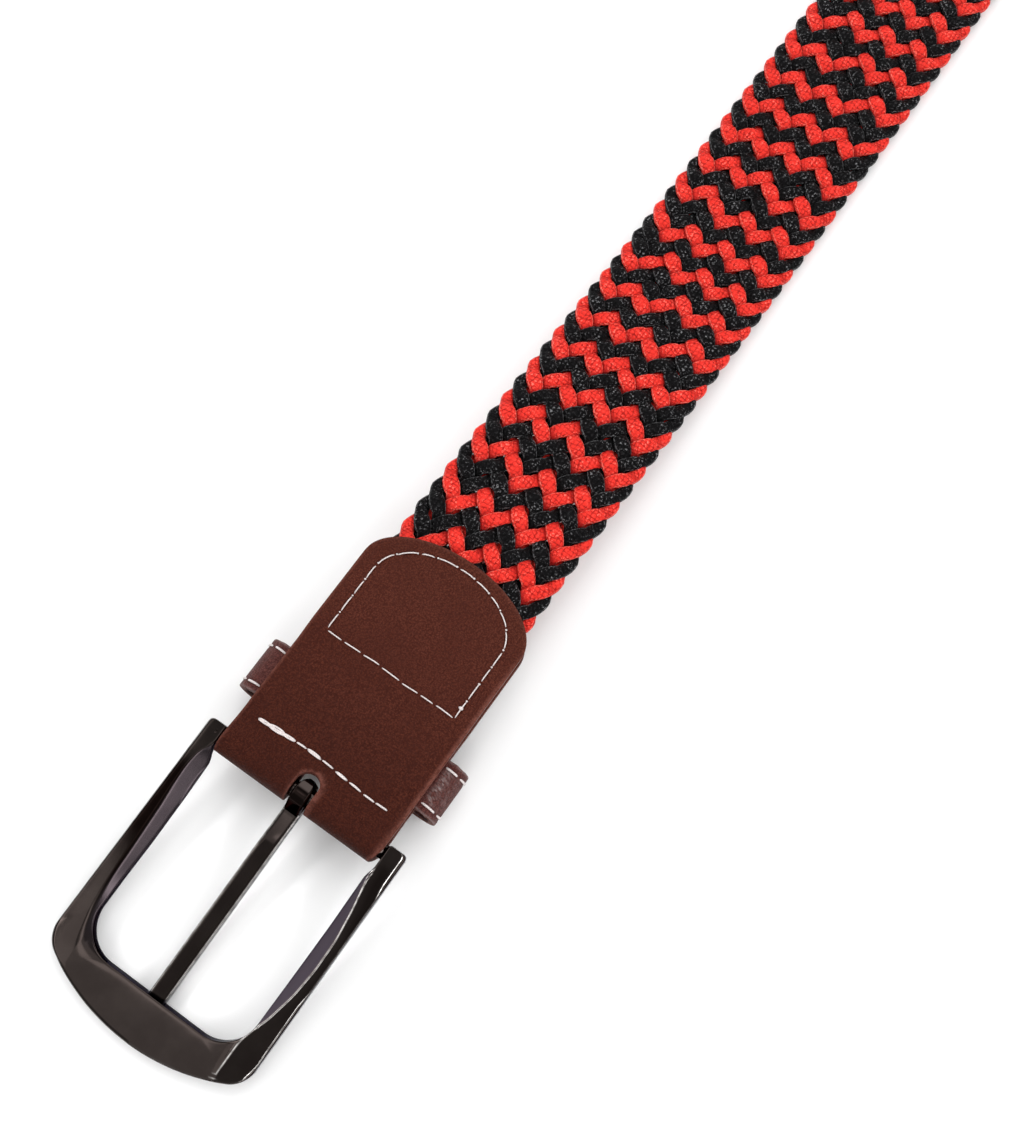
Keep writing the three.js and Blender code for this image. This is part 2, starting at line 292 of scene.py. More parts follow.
leatherLook = {
    "base": (0.078, 0.0172, 0.0092, 1),
    "light": (0.098, 0.0245, 0.0140, 1),
    "pore": (0.046, 0.0086, 0.0044, 1),
    "foldShade": (0.60, 0.50, 0.40, 1),  # painted shade: how much darker it is next to the fold
    # rubbed cut edges, and the painted highlight on the slot's rim and the tab's right edge
    "wornAndLit": (0.22, 0.080, 0.060, 1),
    "edge": (0.24, 0.105, 0.080, 1),
    "edgeDark": (0.11, 0.040, 0.028, 1),
}
keeperLook = dict(
    leatherLook,
    base=(0.092, 0.0235, 0.0185, 1),
    light=(0.118, 0.036, 0.029, 1),
    pore=(0.050, 0.0105, 0.0085, 1),
    # the pale painted highlight on the keeper's creases
    wornAndLit=(0.60, 0.52, 0.51, 1),
)


def leatherMaterial(name, tones, look=leatherLook, shine=0.12, cells=3.4):
    material, tree, shader = newMaterial(name, {"Specular IOR Level": shine})
    grain = placeGroup(tree, leatherGrain, Cells=cells)
    tone = stretch(tree, grain.outputs["Tone"], 0.36, 0.64)
    body = blendColours(tree, tone, *(look[label] for label in tones))
    raised = stretch(tree, grain.outputs["Height"], -0.25, 0.22)
    grained = blendColours(tree, raised, look["pore"], body)
    # painted shade towards the fold, multiplied into the leather's colour
    paintedShade = blendColours(tree, attribute(tree, "foldShade"), (1, 1, 1, 1), look["foldShade"])
    darkened = tree.nodes.new("ShaderNodeMix")
    darkened.data_type = "RGBA"
    darkened.blend_type = "MULTIPLY"
    for place, given in ((0, 1.0), (6, grained), (7, paintedShade)):
        feed(tree, darkened.inputs[place], given)
    wear = placeGroup(tree, edgeWearAndHighlight, Colour=darkened.outputs[2], Worn=look["wornAndLit"], Amount=0.5)
    tree.links.new(wear.outputs["Colour"], shader.inputs["Base Color"])
    tree.links.new(stretch(tree, grain.outputs["Tone"], 0.3, 0.7, 0.5, 0.62), shader.inputs["Roughness"])
    addBump(tree, shader, grain.outputs["Height"], 0.20)
    return material


metalLook = {
    "dark": (0.046, 0.036, 0.033, 1),
    "pale": (0.058, 0.046, 0.042, 1),
    # near white: painted highlight along ridges and bevels, with some rubbed edges
    "wornAndLit": (0.93, 0.90, 0.87, 1),
    # a painted violet sheen on the satin facets, standing in for what they mirror
    "satinAndSheen": (0.072, 0.058, 0.073, 1),
    # painted dark reflection, for facets that mirror a dim part of the room
    "darkReflection": (0.012, 0.007, 0.006, 1),
    "gloss": (0.08, 0.12),
    "satinRough": 0.38,
}


def metalMaterial(name):
    # polished black nickel: rougher with a painted violet sheen on the satin facets, and darkened by painted
    # dark reflection where marked
    tint = (0.22, 0.22, 0.25, 1)
    material, tree, shader = newMaterial(name, {"Metallic": 1.0, "Specular Tint": tint})
    place = millimetres(tree)
    smudge = stretch(tree, noise(tree, place, 0.16, 4.0, 0.6), 0.3, 0.7)
    satinAndSheen = attribute(tree, "satinAndSheen")
    body = blendColours(tree, smudge, metalLook["dark"], metalLook["pale"])
    # painted dark reflection where marked
    darkened = blendColours(tree, attribute(tree, "darkReflection"), body, metalLook["darkReflection"])
    # satin facets get a painted violet sheen as well as more roughness
    toned = blendColours(tree, satinAndSheen, darkened, metalLook["satinAndSheen"])
    wear = placeGroup(tree, edgeWearAndHighlight, Colour=toned, Worn=metalLook["wornAndLit"], Amount=0.8, Breakup=0.6)
    tree.links.new(wear.outputs["Colour"], shader.inputs["Base Color"])
    low, high = metalLook["gloss"]
    gloss = calc(tree, "MULTIPLY_ADD", smudge, high - low, low)
    rough = stretch(tree, satinAndSheen, 0.0, 1.0, gloss, metalLook["satinRough"])
    tree.links.new(rough, shader.inputs["Roughness"])
    addBump(tree, shader, noise(tree, place, 0.35, 2.0), 0.01, 0.3)
    return material


def threadMaterial(name):
    material, tree, shader = newMaterial(name, {"Roughness": 0.5, "Sheen Weight": 0.1})
    threads = placeGroup(tree, plaitedThreads, Stitch=0.55, Column=0.4, Fuzz=0.3)
    tint = blendColours(tree, threads.outputs["Height"], (0.40, 0.34, 0.33, 1), (0.72, 0.66, 0.65, 1))
    tree.links.new(tint, shader.inputs["Base Color"])
    addBump(tree, shader, threads.outputs["Height"], 0.05)
    return material


cords = {name: cordMaterial(name, look) for name, look in cordLooks.items()}
leatherFace = leatherMaterial("brown_leather", ("base", "light"))
leatherEdge = leatherMaterial("leather_cut_edge", ("edgeDark", "edge"), cells=4.0)
keeperFace = leatherMaterial("keeper_leather", ("base", "light"), keeperLook, 0.2)
blackNickel = metalMaterial("black_nickel")
whiteThread = threadMaterial("white_thread")
print("materials made")


# Mesh helpers

def newPiece(name, points, faces, body, materials, uv=None, marks=None, replaces=()):
    # marks are named values at the points, for the materials
    mesh = bpy.data.meshes.new(name)
    mesh.from_pydata((np.asarray(points) * mm + foldAt).tolist(), [], faces)
    if uv is not None:
        mesh.uv_layers.new(name="cordUv").data.foreach_set("uv", np.asarray(uv, np.float32).ravel())
    for label, values in (marks or {}).items():
        layer = mesh.attributes.new(label, "FLOAT", "POINT")
        layer.data.foreach_set("value", np.asarray(values, np.float32))
    for material in materials:
        mesh.materials.append(material)
    mesh.shade_smooth()
    piece = bpy.data.objects.new(name, mesh)
    bpy.context.scene.collection.objects.link(piece)
    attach(piece, body)
    if replaces:
        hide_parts(*replaces)
    return piece


def alongPath(path, up=(0, 0, 1)):
    tangent = unit(np.gradient(path, axis=0))
    side = unit(np.cross(up, tangent))
    return side, np.cross(tangent, side)


def roundedSection(sides, power):
    # unit superellipse: power 2 is an ellipse, more is squarer
    turn = 2 * np.pi * (np.arange(sides) + 0.5) / sides
    reach = np.stack([np.cos(turn), np.sin(turn)], axis=1)
    return np.sign(reach) * np.abs(reach) ** (2 / power)


def sweep(path, width, thick, sides=10, power=2.4, up=(0, 0, 1)):
    # rings of a tube, with the UVs of its faces in mm
    side, lift = alongPath(path, up)
    count = len(path)
    width = np.broadcast_to(width, count)[:, None, None]
    thick = np.broadcast_to(thick, count)[:, None, None]
    section = roundedSection(sides, power)
    rings = (path[:, None] + side[:, None] * section[None, :, :1] * width / 2
             + lift[:, None] * section[None, :, 1:] * thick / 2)
    length = lengthsAlong(path)
    girth = np.pi * (float(np.mean(width)) + float(np.mean(thick))) / 2
    around = girth * np.arange(sides + 1) / sides
    return rings, length, around


def tubeFaces(count, sides, offset=0):
    ring = np.arange(count - 1)[:, None] * sides
    here = np.arange(sides)[None, :]
    after = (here + 1) % sides
    quads = np.stack([ring + here, ring + after, ring + sides + after, ring + sides + here], axis=-1)
    last = (count - 1) * sides
    caps = [[offset + i for i in reversed(range(sides))], [offset + last + i for i in range(sides)]]
    return (quads.reshape(-1, 4) + offset).tolist() + caps


def tubeUv(length, around):
    low, high = length[:-1, None], length[1:, None]
    left, right = around[None, :-1], around[None, 1:]
    corners = [np.stack(np.broadcast_arrays(u, v), axis=-1) for u, v in
               ((low, left), (low, right), (high, right), (high, left))]
    sides = len(around) - 1
    return np.concatenate([np.stack(corners, axis=2).reshape(-1, 2), np.zeros((2 * sides, 2))])


def joinTubes(tubes):
    # several tubes as one mesh: points, faces, UVs
    points, faces, uvs, offset = [], [], [], 0
    for rings, length, around in tubes:
        count, sides = rings.shape[:2]
        points.append(rings.reshape(-1, 3))
        faces += tubeFaces(count, sides, offset)
        uvs.append(tubeUv(length, around))
        offset += count * sides
    return np.concatenate(points), faces, np.concatenate(uvs)


def finished(piece, *modifiers):
    # adds modifiers given as (type, settings)
    for kind, settings in modifiers:
        modifier = piece.modifiers.new(kind.lower(), kind)
        for key, value in settings.items():
            setattr(modifier, key, value)
    return piece


# Braid: seventeen plaited cords, each crossing the band to and fro, over two and under two

braid = {
    "cords": 17,
    "across": 1.8,  # between two crossings, across the band
    "shear": 0.15,  # how far the right side runs ahead of the left, per mm
    "leanOut": 0.42,  # where it floats a cord lies more crosswise: one that runs to the left with x
    "leanBack": 0.85,  # and one that runs to the right
    "turnRound": 0.5,  # roundness of a turn at the edge, in crossings
    "rise": 0.95,
    "flat": 1.35,  # how level a float lies before it dives
    "widthOut": 3.08,
    "widthBack": 2.80,
    "bulgeOut": 0.24,
    "bulgeBack": 0.07,
    "raise": 0.12,  # cords that run to the left ride a little above the others
    "tuckShaded": (0.60, 0.96),  # where a float's end gets painted shade, in crossings from its middle
    "thick": 1.50,
    "rings": (-0.9, -0.68, -0.36, 0, 0.36, 0.68, 0.9, 1.0),  # along a float, in crossings from its middle
    "sides": 10,
    "firstTurn": 59.0,  # the left edge's turn next to the tab
    "start": 33.6,
    "end": 960.3,
    "pitch": ((59, 4.65), (95, 4.5), (127, 3.92), (156, 4.24), (185, 4.2)),  # one turn to the next, at x
}
band = {
    "thickFree": 3.4,
    "thickHeld": 2.8,
    "tabEnd": 54.4,
    "dropStart": 58,
    "dropEnd": 150,
    "tipStart": 941.53,
    "tipRise": 16,
    "tipUnder": 1.6,
}
crossings = 2 * braid["cords"]


def bandUnder(x):
    drop = 1 - smooth(x, band["dropStart"], band["dropEnd"])
    climb = smooth(x, band["tipStart"] - band["tipRise"], band["tipStart"])
    return (hingeZ - band["thickHeld"] / 2) * drop + band["tipUnder"] * climb


def bandHeight(x):
    leaves = smooth(x, band["tabEnd"] - 2, band["tabEnd"] + 6)
    enters = smooth(x, band["tipStart"] - 8, band["tipStart"])
    return band["thickHeld"] + (band["thickFree"] - band["thickHeld"]) * leaves * (1 - enters)


def crossingPlaces():
    # x of each row of crossings, from the tab to the tip; row 0 is firstTurn's
    xs, pitches = zip(*braid["pitch"])
    edgeLag = braid["shear"] * (crossings / 4 - braid["turnRound"]) * braid["across"]
    start = braid["firstTurn"] + edgeLag
    before, after = [], [start]
    while after[-1] < braid["end"]:
        after.append(after[-1] + np.interp(after[-1], xs, pitches) / 2)
    x = start
    while x > braid["start"]:
        x -= np.interp(x, xs, pitches) / 2
        before.append(x)
    rows = np.arange(-len(before), len(after))
    return rows, np.array(before[::-1] + after)


def wander(rows, spread):
    # small uneven shifts, eased from one value to the next
    marks = np.arange(math.floor(rows[0]), rows[-1] + 3, 2)
    return np.interp(rows, marks, random.uniform(-spread, spread, len(marks)))


def ringPlaces(number, rows):
    # where a cord's rings go, in crossings: even spacing at a turn, closer at a float's ends elsewhere
    floats = np.arange(rows[0] + 0.5, rows[-1], 2)
    turns = np.arange(rows[0], rows[-1])
    parts = []
    for middles, low, high in ((floats, 0.5, 16.5), (floats + 1, 17.5, 33.5)):
        at = (middles[:, None] + np.array(braid["rings"])).ravel()
        s = (2 * number - at) % crossings
        parts.append(at[(s >= low - 0.01) & (s <= high + 0.01)])
    turning = turns[(2 * number - turns) % (crossings // 2) == 0]
    parts.append((turning[:, None] + np.array([-0.25, 0, 0.25])).ravel())
    at = np.unique(np.round(np.concatenate(parts), 4))
    return at[(at >= rows[0]) & (at <= rows[-1])]


def cordPath(number, rows, places):
    fine = ringPlaces(number, rows)
    s = (2 * number - fine) % crossings
    fromLeft = np.minimum(s, crossings - s)  # crossings since the left edge's turn
    fromRight = crossings / 2 - fromLeft
    runsOut = s < crossings / 2  # to the left as x grows
    sharp = braid["turnRound"]
    nearRight = smooth(fromLeft, 7, 10)
    c = ((1 - nearRight) * (-1 + np.sqrt(fromLeft**2 + sharp**2))
         + nearRight * (crossings / 2 - 1 - np.sqrt(fromRight**2 + sharp**2)))
    middle = c - (crossings / 4 - 1)

    inside = np.minimum(smooth(fromLeft, 0, 1.2), smooth(fromRight, 0, 1.2))
    since = np.where(runsOut, s - 0.5, s - crossings / 2 - 0.5)
    t = since % 2 - 1  # -1 to 1 along each float
    wave = np.sin(since * np.pi / 2)
    rise = np.tanh(braid["flat"] * wave) / math.tanh(braid["flat"]) * inside
    lean = np.where(runsOut, braid["leanOut"], braid["leanBack"])
    slip = t - np.sign(t) * smooth(np.abs(t), 0.7, 1.0)
    x = (np.interp(fine, rows, places) + braid["shear"] * middle * braid["across"]
         + lean * slip * inside + wander(fine, 0.16))
    y = -middle * braid["across"] + wander(fine, 0.10) * inside
    height = bandHeight(x)
    share = height / band["thickFree"]
    ride = np.where(runsOut, braid["raise"], -braid["raise"])
    z = bandUnder(x) + height / 2 + share * (braid["rise"] * rise + (ride + wander(fine, 0.04)) * inside)
    swell = np.where(runsOut, braid["bulgeOut"], braid["bulgeBack"])
    bulge = 1 + swell * (np.cos(t * np.pi / 2) ** 2 - 0.7) * inside
    width = np.where(runsOut, braid["widthOut"], braid["widthBack"])
    width = width * bulge * (1 + wander(fine, 0.03)) * (0.84 + 0.16 * inside)
    thick = braid["thick"] * share * (1.25 - 0.25 * inside)
    # painted shade towards a float's ends, where it dives under other cords
    tuckShade = 0.85 * smooth(np.abs(t), *braid["tuckShaded"]) * inside
    return np.stack([x, y, z], axis=1), width, thick, tuckShade


def makeBraid():
    rows, places = crossingPlaces()
    for number in range(braid["cords"]):
        path, width, thick, tuckShade = cordPath(number, rows, places)
        kept = (path[:, 0] > braid["start"] - 2.5) & (path[:, 0] < braid["end"] + 1.5)
        rings, length, around = sweep(path[kept], width[kept], thick[kept], braid["sides"], 2.6)
        points, faces, uv = joinTubes([(rings, length, around)])
        uv[:, 0] += 3.7 * number
        colour = "braid_red" if number and number % 2 == 0 else "braid_black"
        newPiece(f"strand_{number + 1:02d}", points, faces, "strap", [cords[colour]], uv=uv,
                 marks={"tuckShade": np.repeat(tuckShade[kept], braid["sides"])}, replaces=["braid_band"])


makeBraid()
print("braid made")


# Leather sheets: an outline cut from flat leather, meshed and then bent into place

def insideOf(points, loop):
    x, y = points[:, 0], points[:, 1]
    inside = np.zeros(len(points), bool)
    for (ax, ay), (bx, by) in zip(loop, np.roll(loop, -1, axis=0)):
        crossesRow = (ay > y) != (by > y)
        with np.errstate(divide="ignore", invalid="ignore"):
            inside ^= crossesRow & (x < (bx - ax) * (y - ay) / (by - ay) + ax)
    return inside


def distanceTo(points, line, closed):
    ends = np.roll(line, -1, axis=0) if closed else line[1:]
    starts = line if closed else line[:-1]
    best = np.full(len(points), 1e9)
    for a, b in zip(starts, ends):
        along = b - a
        t = np.clip(((points - a) @ along) / max(float(along @ along), 1e-12), 0, 1)
        best = np.minimum(best, np.linalg.norm(points - a - t[:, None] * along, axis=1))
    return best


def resample(line, step, closed=False):
    line = np.asarray(line, float)
    if closed:
        line = np.concatenate([line, line[:1]])
    length = lengthsAlong(line)
    count = max(2, int(round(length[-1] / step)) + 1)
    at = np.linspace(0, length[-1], count)
    made = np.stack([np.interp(at, length, line[:, i]) for i in range(line.shape[1])], axis=1)
    return made[:-1] if closed else made


def cutSheet(outline, holes, seams, step):
    # flat triangles inside the outline, finer along the seams
    loops = [resample(loop, step, True) for loop in [outline, *holes]]
    low, high = loops[0].min(0), loops[0].max(0)
    xs = np.arange(low[0] + step / 2, high[0], step)
    ys = np.arange(low[1] + step / 2, high[1], step)
    grid = np.stack(np.meshgrid(xs, ys, indexing="ij"), axis=-1).reshape(-1, 2)
    for seam in seams:
        grid = grid[distanceTo(grid, resample(seam, 1.5), False) > 1.0]
    fine = []
    for seam in seams:
        line = resample(seam, 0.45)
        away = unit(np.gradient(line, axis=0))[:, ::-1] * [-1, 1]
        fine += [line + away * offset for offset in (-0.8, -0.4, 0, 0.4, 0.8)]
    inner = np.concatenate([grid, *fine]) if fine else grid
    keep = insideOf(inner, loops[0])
    for hole in loops[1:]:
        keep &= ~insideOf(inner, hole)
    for loop in loops:
        keep &= distanceTo(inner, loop, True) > 0.45 * step
    inner = inner[keep]
    edges, offset = [], 0
    for loop in loops:
        edges += [(offset + i, offset + (i + 1) % len(loop)) for i in range(len(loop))]
        offset += len(loop)
    points = np.concatenate([*loops, inner])
    made, _, faces, *_ = delaunay_2d_cdt([Vector(p) for p in points.tolist()], edges, [], 0, 1e-5)
    flat = np.array([tuple(p) for p in made])
    faces = np.array([tuple(f) for f in faces if len(f) == 3])
    centres = flat[faces].mean(axis=1)
    kept = insideOf(centres, loops[0])
    for hole in loops[1:]:
        kept &= ~insideOf(centres, hole)
    faces = faces[kept]
    used = np.unique(faces)
    renumber = np.zeros(len(flat), int)
    renumber[used] = np.arange(len(used))
    flat, faces = flat[used], renumber[faces]
    a, b, c = flat[faces[:, 0]], flat[faces[:, 1]], flat[faces[:, 2]]
    ab, ac = b - a, c - a
    turned = ab[:, 0] * ac[:, 1] - ab[:, 1] * ac[:, 0] < 0
    faces[turned] = faces[turned][:, ::-1]
    border = np.min([distanceTo(flat, loop, True) for loop in loops], axis=0)
    return flat, faces, border


def leatherPiece(name, points, faces, border, thick, wearAndHighlight=0, foldShade=0, face=leatherFace, replaces=()):
    # bent leather given its thickness, with rounded cut edges
    wearAndHighlight = np.maximum(0.45 * (1 - smooth(border, 0.0, 0.6)), wearAndHighlight)
    marks = {"wearAndHighlight": wearAndHighlight, "foldShade": np.broadcast_to(foldShade, wearAndHighlight.shape)}
    piece = newPiece(name, points, np.asarray(faces).tolist(), "strap", [face, leatherEdge],
                     marks=marks, replaces=replaces)
    rounded = {"width": 0.22 * mm, "segments": 3, "limit_method": "ANGLE", "angle_limit": math.radians(50)}
    return finished(
        piece,
        ("SOLIDIFY", {"thickness": thick * mm, "offset": 0, "material_offset_rim": 1}),
        ("BEVEL", rounded),
    )


# Leather tab

tab = {
    "width": 35,
    "length": 54.4,
    "straight": 45,
    "leather": 1.3,
    # half the gap between the layers, at x
    "gaps": ((3, 1.7), (9, 0.9), (12, 1.0), (24, 1.0), (30, 1.7), (54.4, 1.7)),
    "slotWidth": 4.5,
    "slotBack": 6.7,  # the slot's end in the layer that shows
    "slotFront": 6.95,  # and in the layer below, where it is squarer so that the prong swings clear
    "slotCorner": 0.5,  # length of that squarer end
    "step": 0.62,
    "seamDip": 0.16,
    "seamWidth": 0.75,
    "foldShade": ((0, 1), (12, 0.72), (17, 0.52), (23, 0.32), (34, 0.1), (42, 0)),  # how much painted shade darkens it, at x
    "cornerPull": 1.2,  # how far the fold's right corner is rounded in
    "cornerReach": 2.2,
}
foldBend = tab["gaps"][0][1] + tab["leather"] / 2  # radius of the leather's middle at the fold
foldHalf = foldBend * math.pi / 2


def halfGap(x):
    x = np.asarray(x, float)
    gap = np.full(x.shape, float(tab["gaps"][0][1]))
    for (fromX, fromGap), (toX, toGap) in zip(tab["gaps"], tab["gaps"][1:]):
        gap = np.where(x >= fromX, fromGap + (toGap - fromGap) * smooth(x, fromX, toX), gap)
    return gap


def tabFlat(x, layer):
    # place along the unfolded strip: 0 at the fold, + on the layer that shows, - on the one below
    return layer * (np.asarray(x, float) - hingeX + foldHalf)


def tabPoint(flat, out=0.0):
    # a point of the unfolded strip in space, out mm off the leather's middle
    u, y = flat[:, 0], flat[:, 1]
    layer = np.sign(u)
    x = hingeX + np.abs(u) - foldHalf
    tilt = (halfGap(x + 0.05) - halfGap(x - 0.05)) / 0.1
    straight = np.abs(u) > foldHalf
    angle = u / foldBend
    normal = np.where(
        straight[:, None],
        unit(np.stack([-tilt, 0 * u, layer], axis=1)),
        np.stack([-np.cos(angle), 0 * u, np.sin(angle)], axis=1),
    )
    base = np.where(
        straight[:, None],
        np.stack([x, y, hingeZ + layer * (halfGap(x) + tab["leather"] / 2)], axis=1),
        np.stack([hingeX - foldBend * np.cos(angle), y, hingeZ + foldBend * np.sin(angle)], axis=1),
    )
    return base + normal * np.broadcast_to(out, u.shape)[:, None]


def roundEnd(straight, end, half, count=40):
    # half an ellipse from -half to +half
    turn = np.linspace(-np.pi / 2, np.pi / 2, count)
    return np.stack([straight + (end - straight) * np.cos(turn), half * np.sin(turn)], axis=1)


# the panel's D, its base line and the single line by the slot, measured along and across the belt
panelSeam = {"base": 29.0, "side": 14.1, "straight": 43.2, "end": 52.3}
foldSeam = {
    "x": 9.2,
    "half": 14.2,
    "stitches": (
        # from and to across the belt, then each thread's shift along it
        (14.2, 11.5, (-0.16, 0.2)),
        (12.0, 8.6, (-0.34, 0.02, 0.36)),
        (9.2, 6.5, (-0.26, 0.16)),
        (6.2, 4.2, (0.0,)),
        (3.8, 0.9, (-0.12, 0.14)),
        (0.5, -1.9, (0.0,)),
        (-2.6, -5.1, (-0.12, 0.12)),
        (-5.8, -8.3, (0.0, 0.12)),
        (-8.9, -11.2, (0.0,)),
        (-11.6, -14.0, (0.0,)),
    ),
}


def panelLine():
    base, side = panelSeam["base"], panelSeam["side"]
    arc = roundEnd(panelSeam["straight"], panelSeam["end"], side, 30)[::-1]
    return np.concatenate([[[base, side]], arc, [[base, -side]]])


def foldLine():
    ys = np.linspace(foldSeam["half"], -foldSeam["half"], 20)
    return np.stack([foldSeam["x"] + 0.35 * np.sin((ys + 4) * 0.23), ys], axis=1)


def baseLine():
    ys = np.linspace(panelSeam["side"], -panelSeam["side"], 12)
    return np.stack([panelSeam["base"] + 0.12 * np.sin(ys * 0.4), ys], axis=1)


def onStrip(line, layer):
    return np.stack([tabFlat(line[:, 0], layer), line[:, 1]], axis=1)


def makeTab():
    half = tab["width"] / 2
    back = roundEnd(tab["straight"], tab["length"], half)
    outline = np.concatenate([onStrip(back, 1), onStrip(back[::-1], -1)])
    radius = tab["slotWidth"] / 2
    slotBack = roundEnd(tab["slotBack"] - radius, tab["slotBack"], radius, 16)
    slotFront = roundEnd(tab["slotFront"] - tab["slotCorner"], tab["slotFront"], radius, 16)
    slot = np.concatenate([onStrip(slotBack, 1), onStrip(slotFront[::-1], -1)])
    seams = [onStrip(line, layer) for layer in (1, -1) for line in (panelLine(), baseLine(), foldLine())]
    flat, faces, border = cutSheet(outline, [slot], seams, tab["step"])
    dip = np.zeros(len(flat))
    for seam in seams:
        dip = np.maximum(dip, 1 - smooth(distanceTo(flat, resample(seam, 1.0), False), 0, tab["seamWidth"]))
    points = tabPoint(flat, -tab["seamDip"] * dip)
    pull = tab["cornerPull"] * np.exp(-((flat[:, 0] / tab["cornerReach"]) ** 2))
    points[:, 1] += pull * smooth(-flat[:, 1], half - 2.5, half)
    # painted highlight round the slot's rim
    wearAndHighlight = 0.8 * (1 - smooth(distanceTo(flat, slot, True), 0.0, 0.30))
    foldShade = np.interp(points[:, 0], *zip(*tab["foldShade"]))
    # painted highlight along the right edge, wider towards the fold, where the right-hand lamp catches it
    reach = np.where(points[:, 1] < 0, np.interp(points[:, 0], (0, 45), (1.25, 0.5)), 0.4)
    wearAndHighlight = np.maximum(wearAndHighlight, (1 - smooth(border, 0.35 * reach, reach)) * (1 - smooth(points[:, 0], 40, 50)))
    leatherPiece("leather_tab_cover", points, faces, border, tab["leather"], wearAndHighlight=wearAndHighlight, foldShade=foldShade,
                 replaces=["leather_tab"])


makeTab()
print("tab made")


# Keeper loop: a leather band bent into a flat ring, its upper run between the tab's layers

keeper = {
    "near": 12.3,
    "width": 10.6,
    "half": 21.9,
    "height": 9.0,
    "leather": 1.4,
    "seamInset": 1.5,
    "crumple": 0.10,
    "steps": (44, 240),  # across and round
    # pale bands of painted highlight on the creased top: place across the belt, spread and strength
    "creases": ((-18.7, 0.6, 1.0), (-20.4, 0.5, 0.25)),
}


def keeperPoint(flat, out=0.0):
    # flat x across the loop's width, flat y along its way round: the upper run, a bend, the lower run, a bend
    radius = (keeper["height"] - keeper["leather"]) / 2
    straight = keeper["half"] - keeper["height"] / 2
    run = 2 * straight
    bend = math.pi * radius
    s = flat[:, 1] % (2 * (run + bend))
    lower = s >= run + bend
    past = np.where(lower, s - run - bend, s)
    turn = np.maximum(past - run, 0) / radius + np.pi * lower
    core = np.where(lower, -1, 1) * (np.minimum(past, run) - straight)
    crease = np.exp(-(((s - (2 * run + 1.9 * bend)) / 2.2) ** 2))
    crease = crease + 0.5 * np.exp(-(((s - (run + 0.15 * bend)) / 1.8) ** 2))
    waves = np.sin(flat[:, 0] * 2.1 + 0.8 * np.sin(s * 1.7)) * np.cos(s * 2.6)
    reach = radius + out + keeper["crumple"] * crease * waves
    base = np.stack([keeper["near"] + flat[:, 0], core, 0 * s + keeper["height"] / 2], axis=1)
    return base + np.stack([0 * s, np.sin(turn), np.cos(turn)], axis=1) * reach[:, None]


def keeperRound():
    radius = (keeper["height"] - keeper["leather"]) / 2
    return 2 * (2 * (keeper["half"] - keeper["height"] / 2) + math.pi * radius)


def makeKeeper():
    across, along = keeper["steps"]
    ws = np.linspace(0, keeper["width"], across)
    ss = np.linspace(0, keeperRound(), along, endpoint=False)
    flat = np.stack(np.meshgrid(ws, ss, indexing="ij"), axis=-1).reshape(-1, 2)
    faces = []
    for i in range(across - 1):
        for j in range(along):
            after = (j + 1) % along
            faces.append([i * along + j, i * along + after, (i + 1) * along + after, (i + 1) * along + j])
    border = np.minimum(flat[:, 0], keeper["width"] - flat[:, 0])
    points = keeperPoint(flat, -0.12 * (1 - smooth(np.abs(border - keeper["seamInset"]), 0, 0.8)))
    top = points[:, 2] > keeper["height"] / 2
    creased = 0
    for place, spread, strength in keeper["creases"]:
        creased = creased + strength * np.exp(-(((points[:, 1] - place) / spread) ** 2))
    # painted highlight speckled along the creases on top
    wrinkle = np.random.default_rng(8).random(len(flat)) ** 1.6 * smooth(border, 1.2, 2.2)
    leatherPiece("keeper_leather", points, faces, border, keeper["leather"], wearAndHighlight=creased * wrinkle * top,
                 face=keeperFace, replaces=["keeper_loop"])


makeKeeper()
print("keeper made")


# Leather tip: two plies over the band's end

tip = {
    "start": 941.53,
    "end": 1001.53,
    "round": 22,
    "closed": 963.83,
    "flat": 973.83,
    "top": 6.0,
    "leather": 1.3,
    "step": 0.8,
    "inset": 3.0,
}


def tipPoint(flat, ply, out=0.0):
    x = flat[:, 0]
    lowerZ = tip["leather"] / 2
    closedZ = 3 * lowerZ + 0.02
    openZ = tip["top"] - lowerZ
    upper = openZ + (closedZ - openZ) * smooth(x, tip["closed"], tip["flat"])
    z = upper if ply > 0 else np.full(len(x), lowerZ)
    return np.stack([x, flat[:, 1], z + ply * out], axis=1)


def tipSeams():
    # the seam round the edge and the one across
    half = tab["width"] / 2 - tip["inset"]
    start = tip["start"] + tip["inset"]
    arc = roundEnd(tip["end"] - tip["round"], tip["end"] - tip["inset"], half, 30)[::-1]
    ends = np.array([[start, half], [start, -half]])
    return np.concatenate([ends[:1], arc, ends[1:]]), ends


def makeTip():
    half = tab["width"] / 2
    arc = roundEnd(tip["end"] - tip["round"], tip["end"], half)
    outline = np.concatenate([arc, [[tip["start"], half], [tip["start"], -half]]])
    around, across = tipSeams()
    flat, faces, border = cutSheet(outline, [], [around, across], tip["step"])
    near = np.minimum(distanceTo(flat, resample(around, 1.0), False), distanceTo(flat, across, False))
    dip = -0.14 * (1 - smooth(near, 0, 0.75))
    for ply, name in ((1, "tip_back_ply"), (-1, "tip_front_ply")):
        leatherPiece(name, tipPoint(flat, ply, dip), faces[:, ::ply], border, tip["leather"],
                     replaces=["leather_tip"])


makeTip()
print("tip made")


# Stitching

thread = {
    "fine": 0.25,
    "thick": 0.36,
    "sides": 8,
    "sunk": 0.30,
    "proud": 0.10,
    "hole": 0.55,  # bare leather between two stitches
    "uneven": 0.12,
    "points": 9,
}


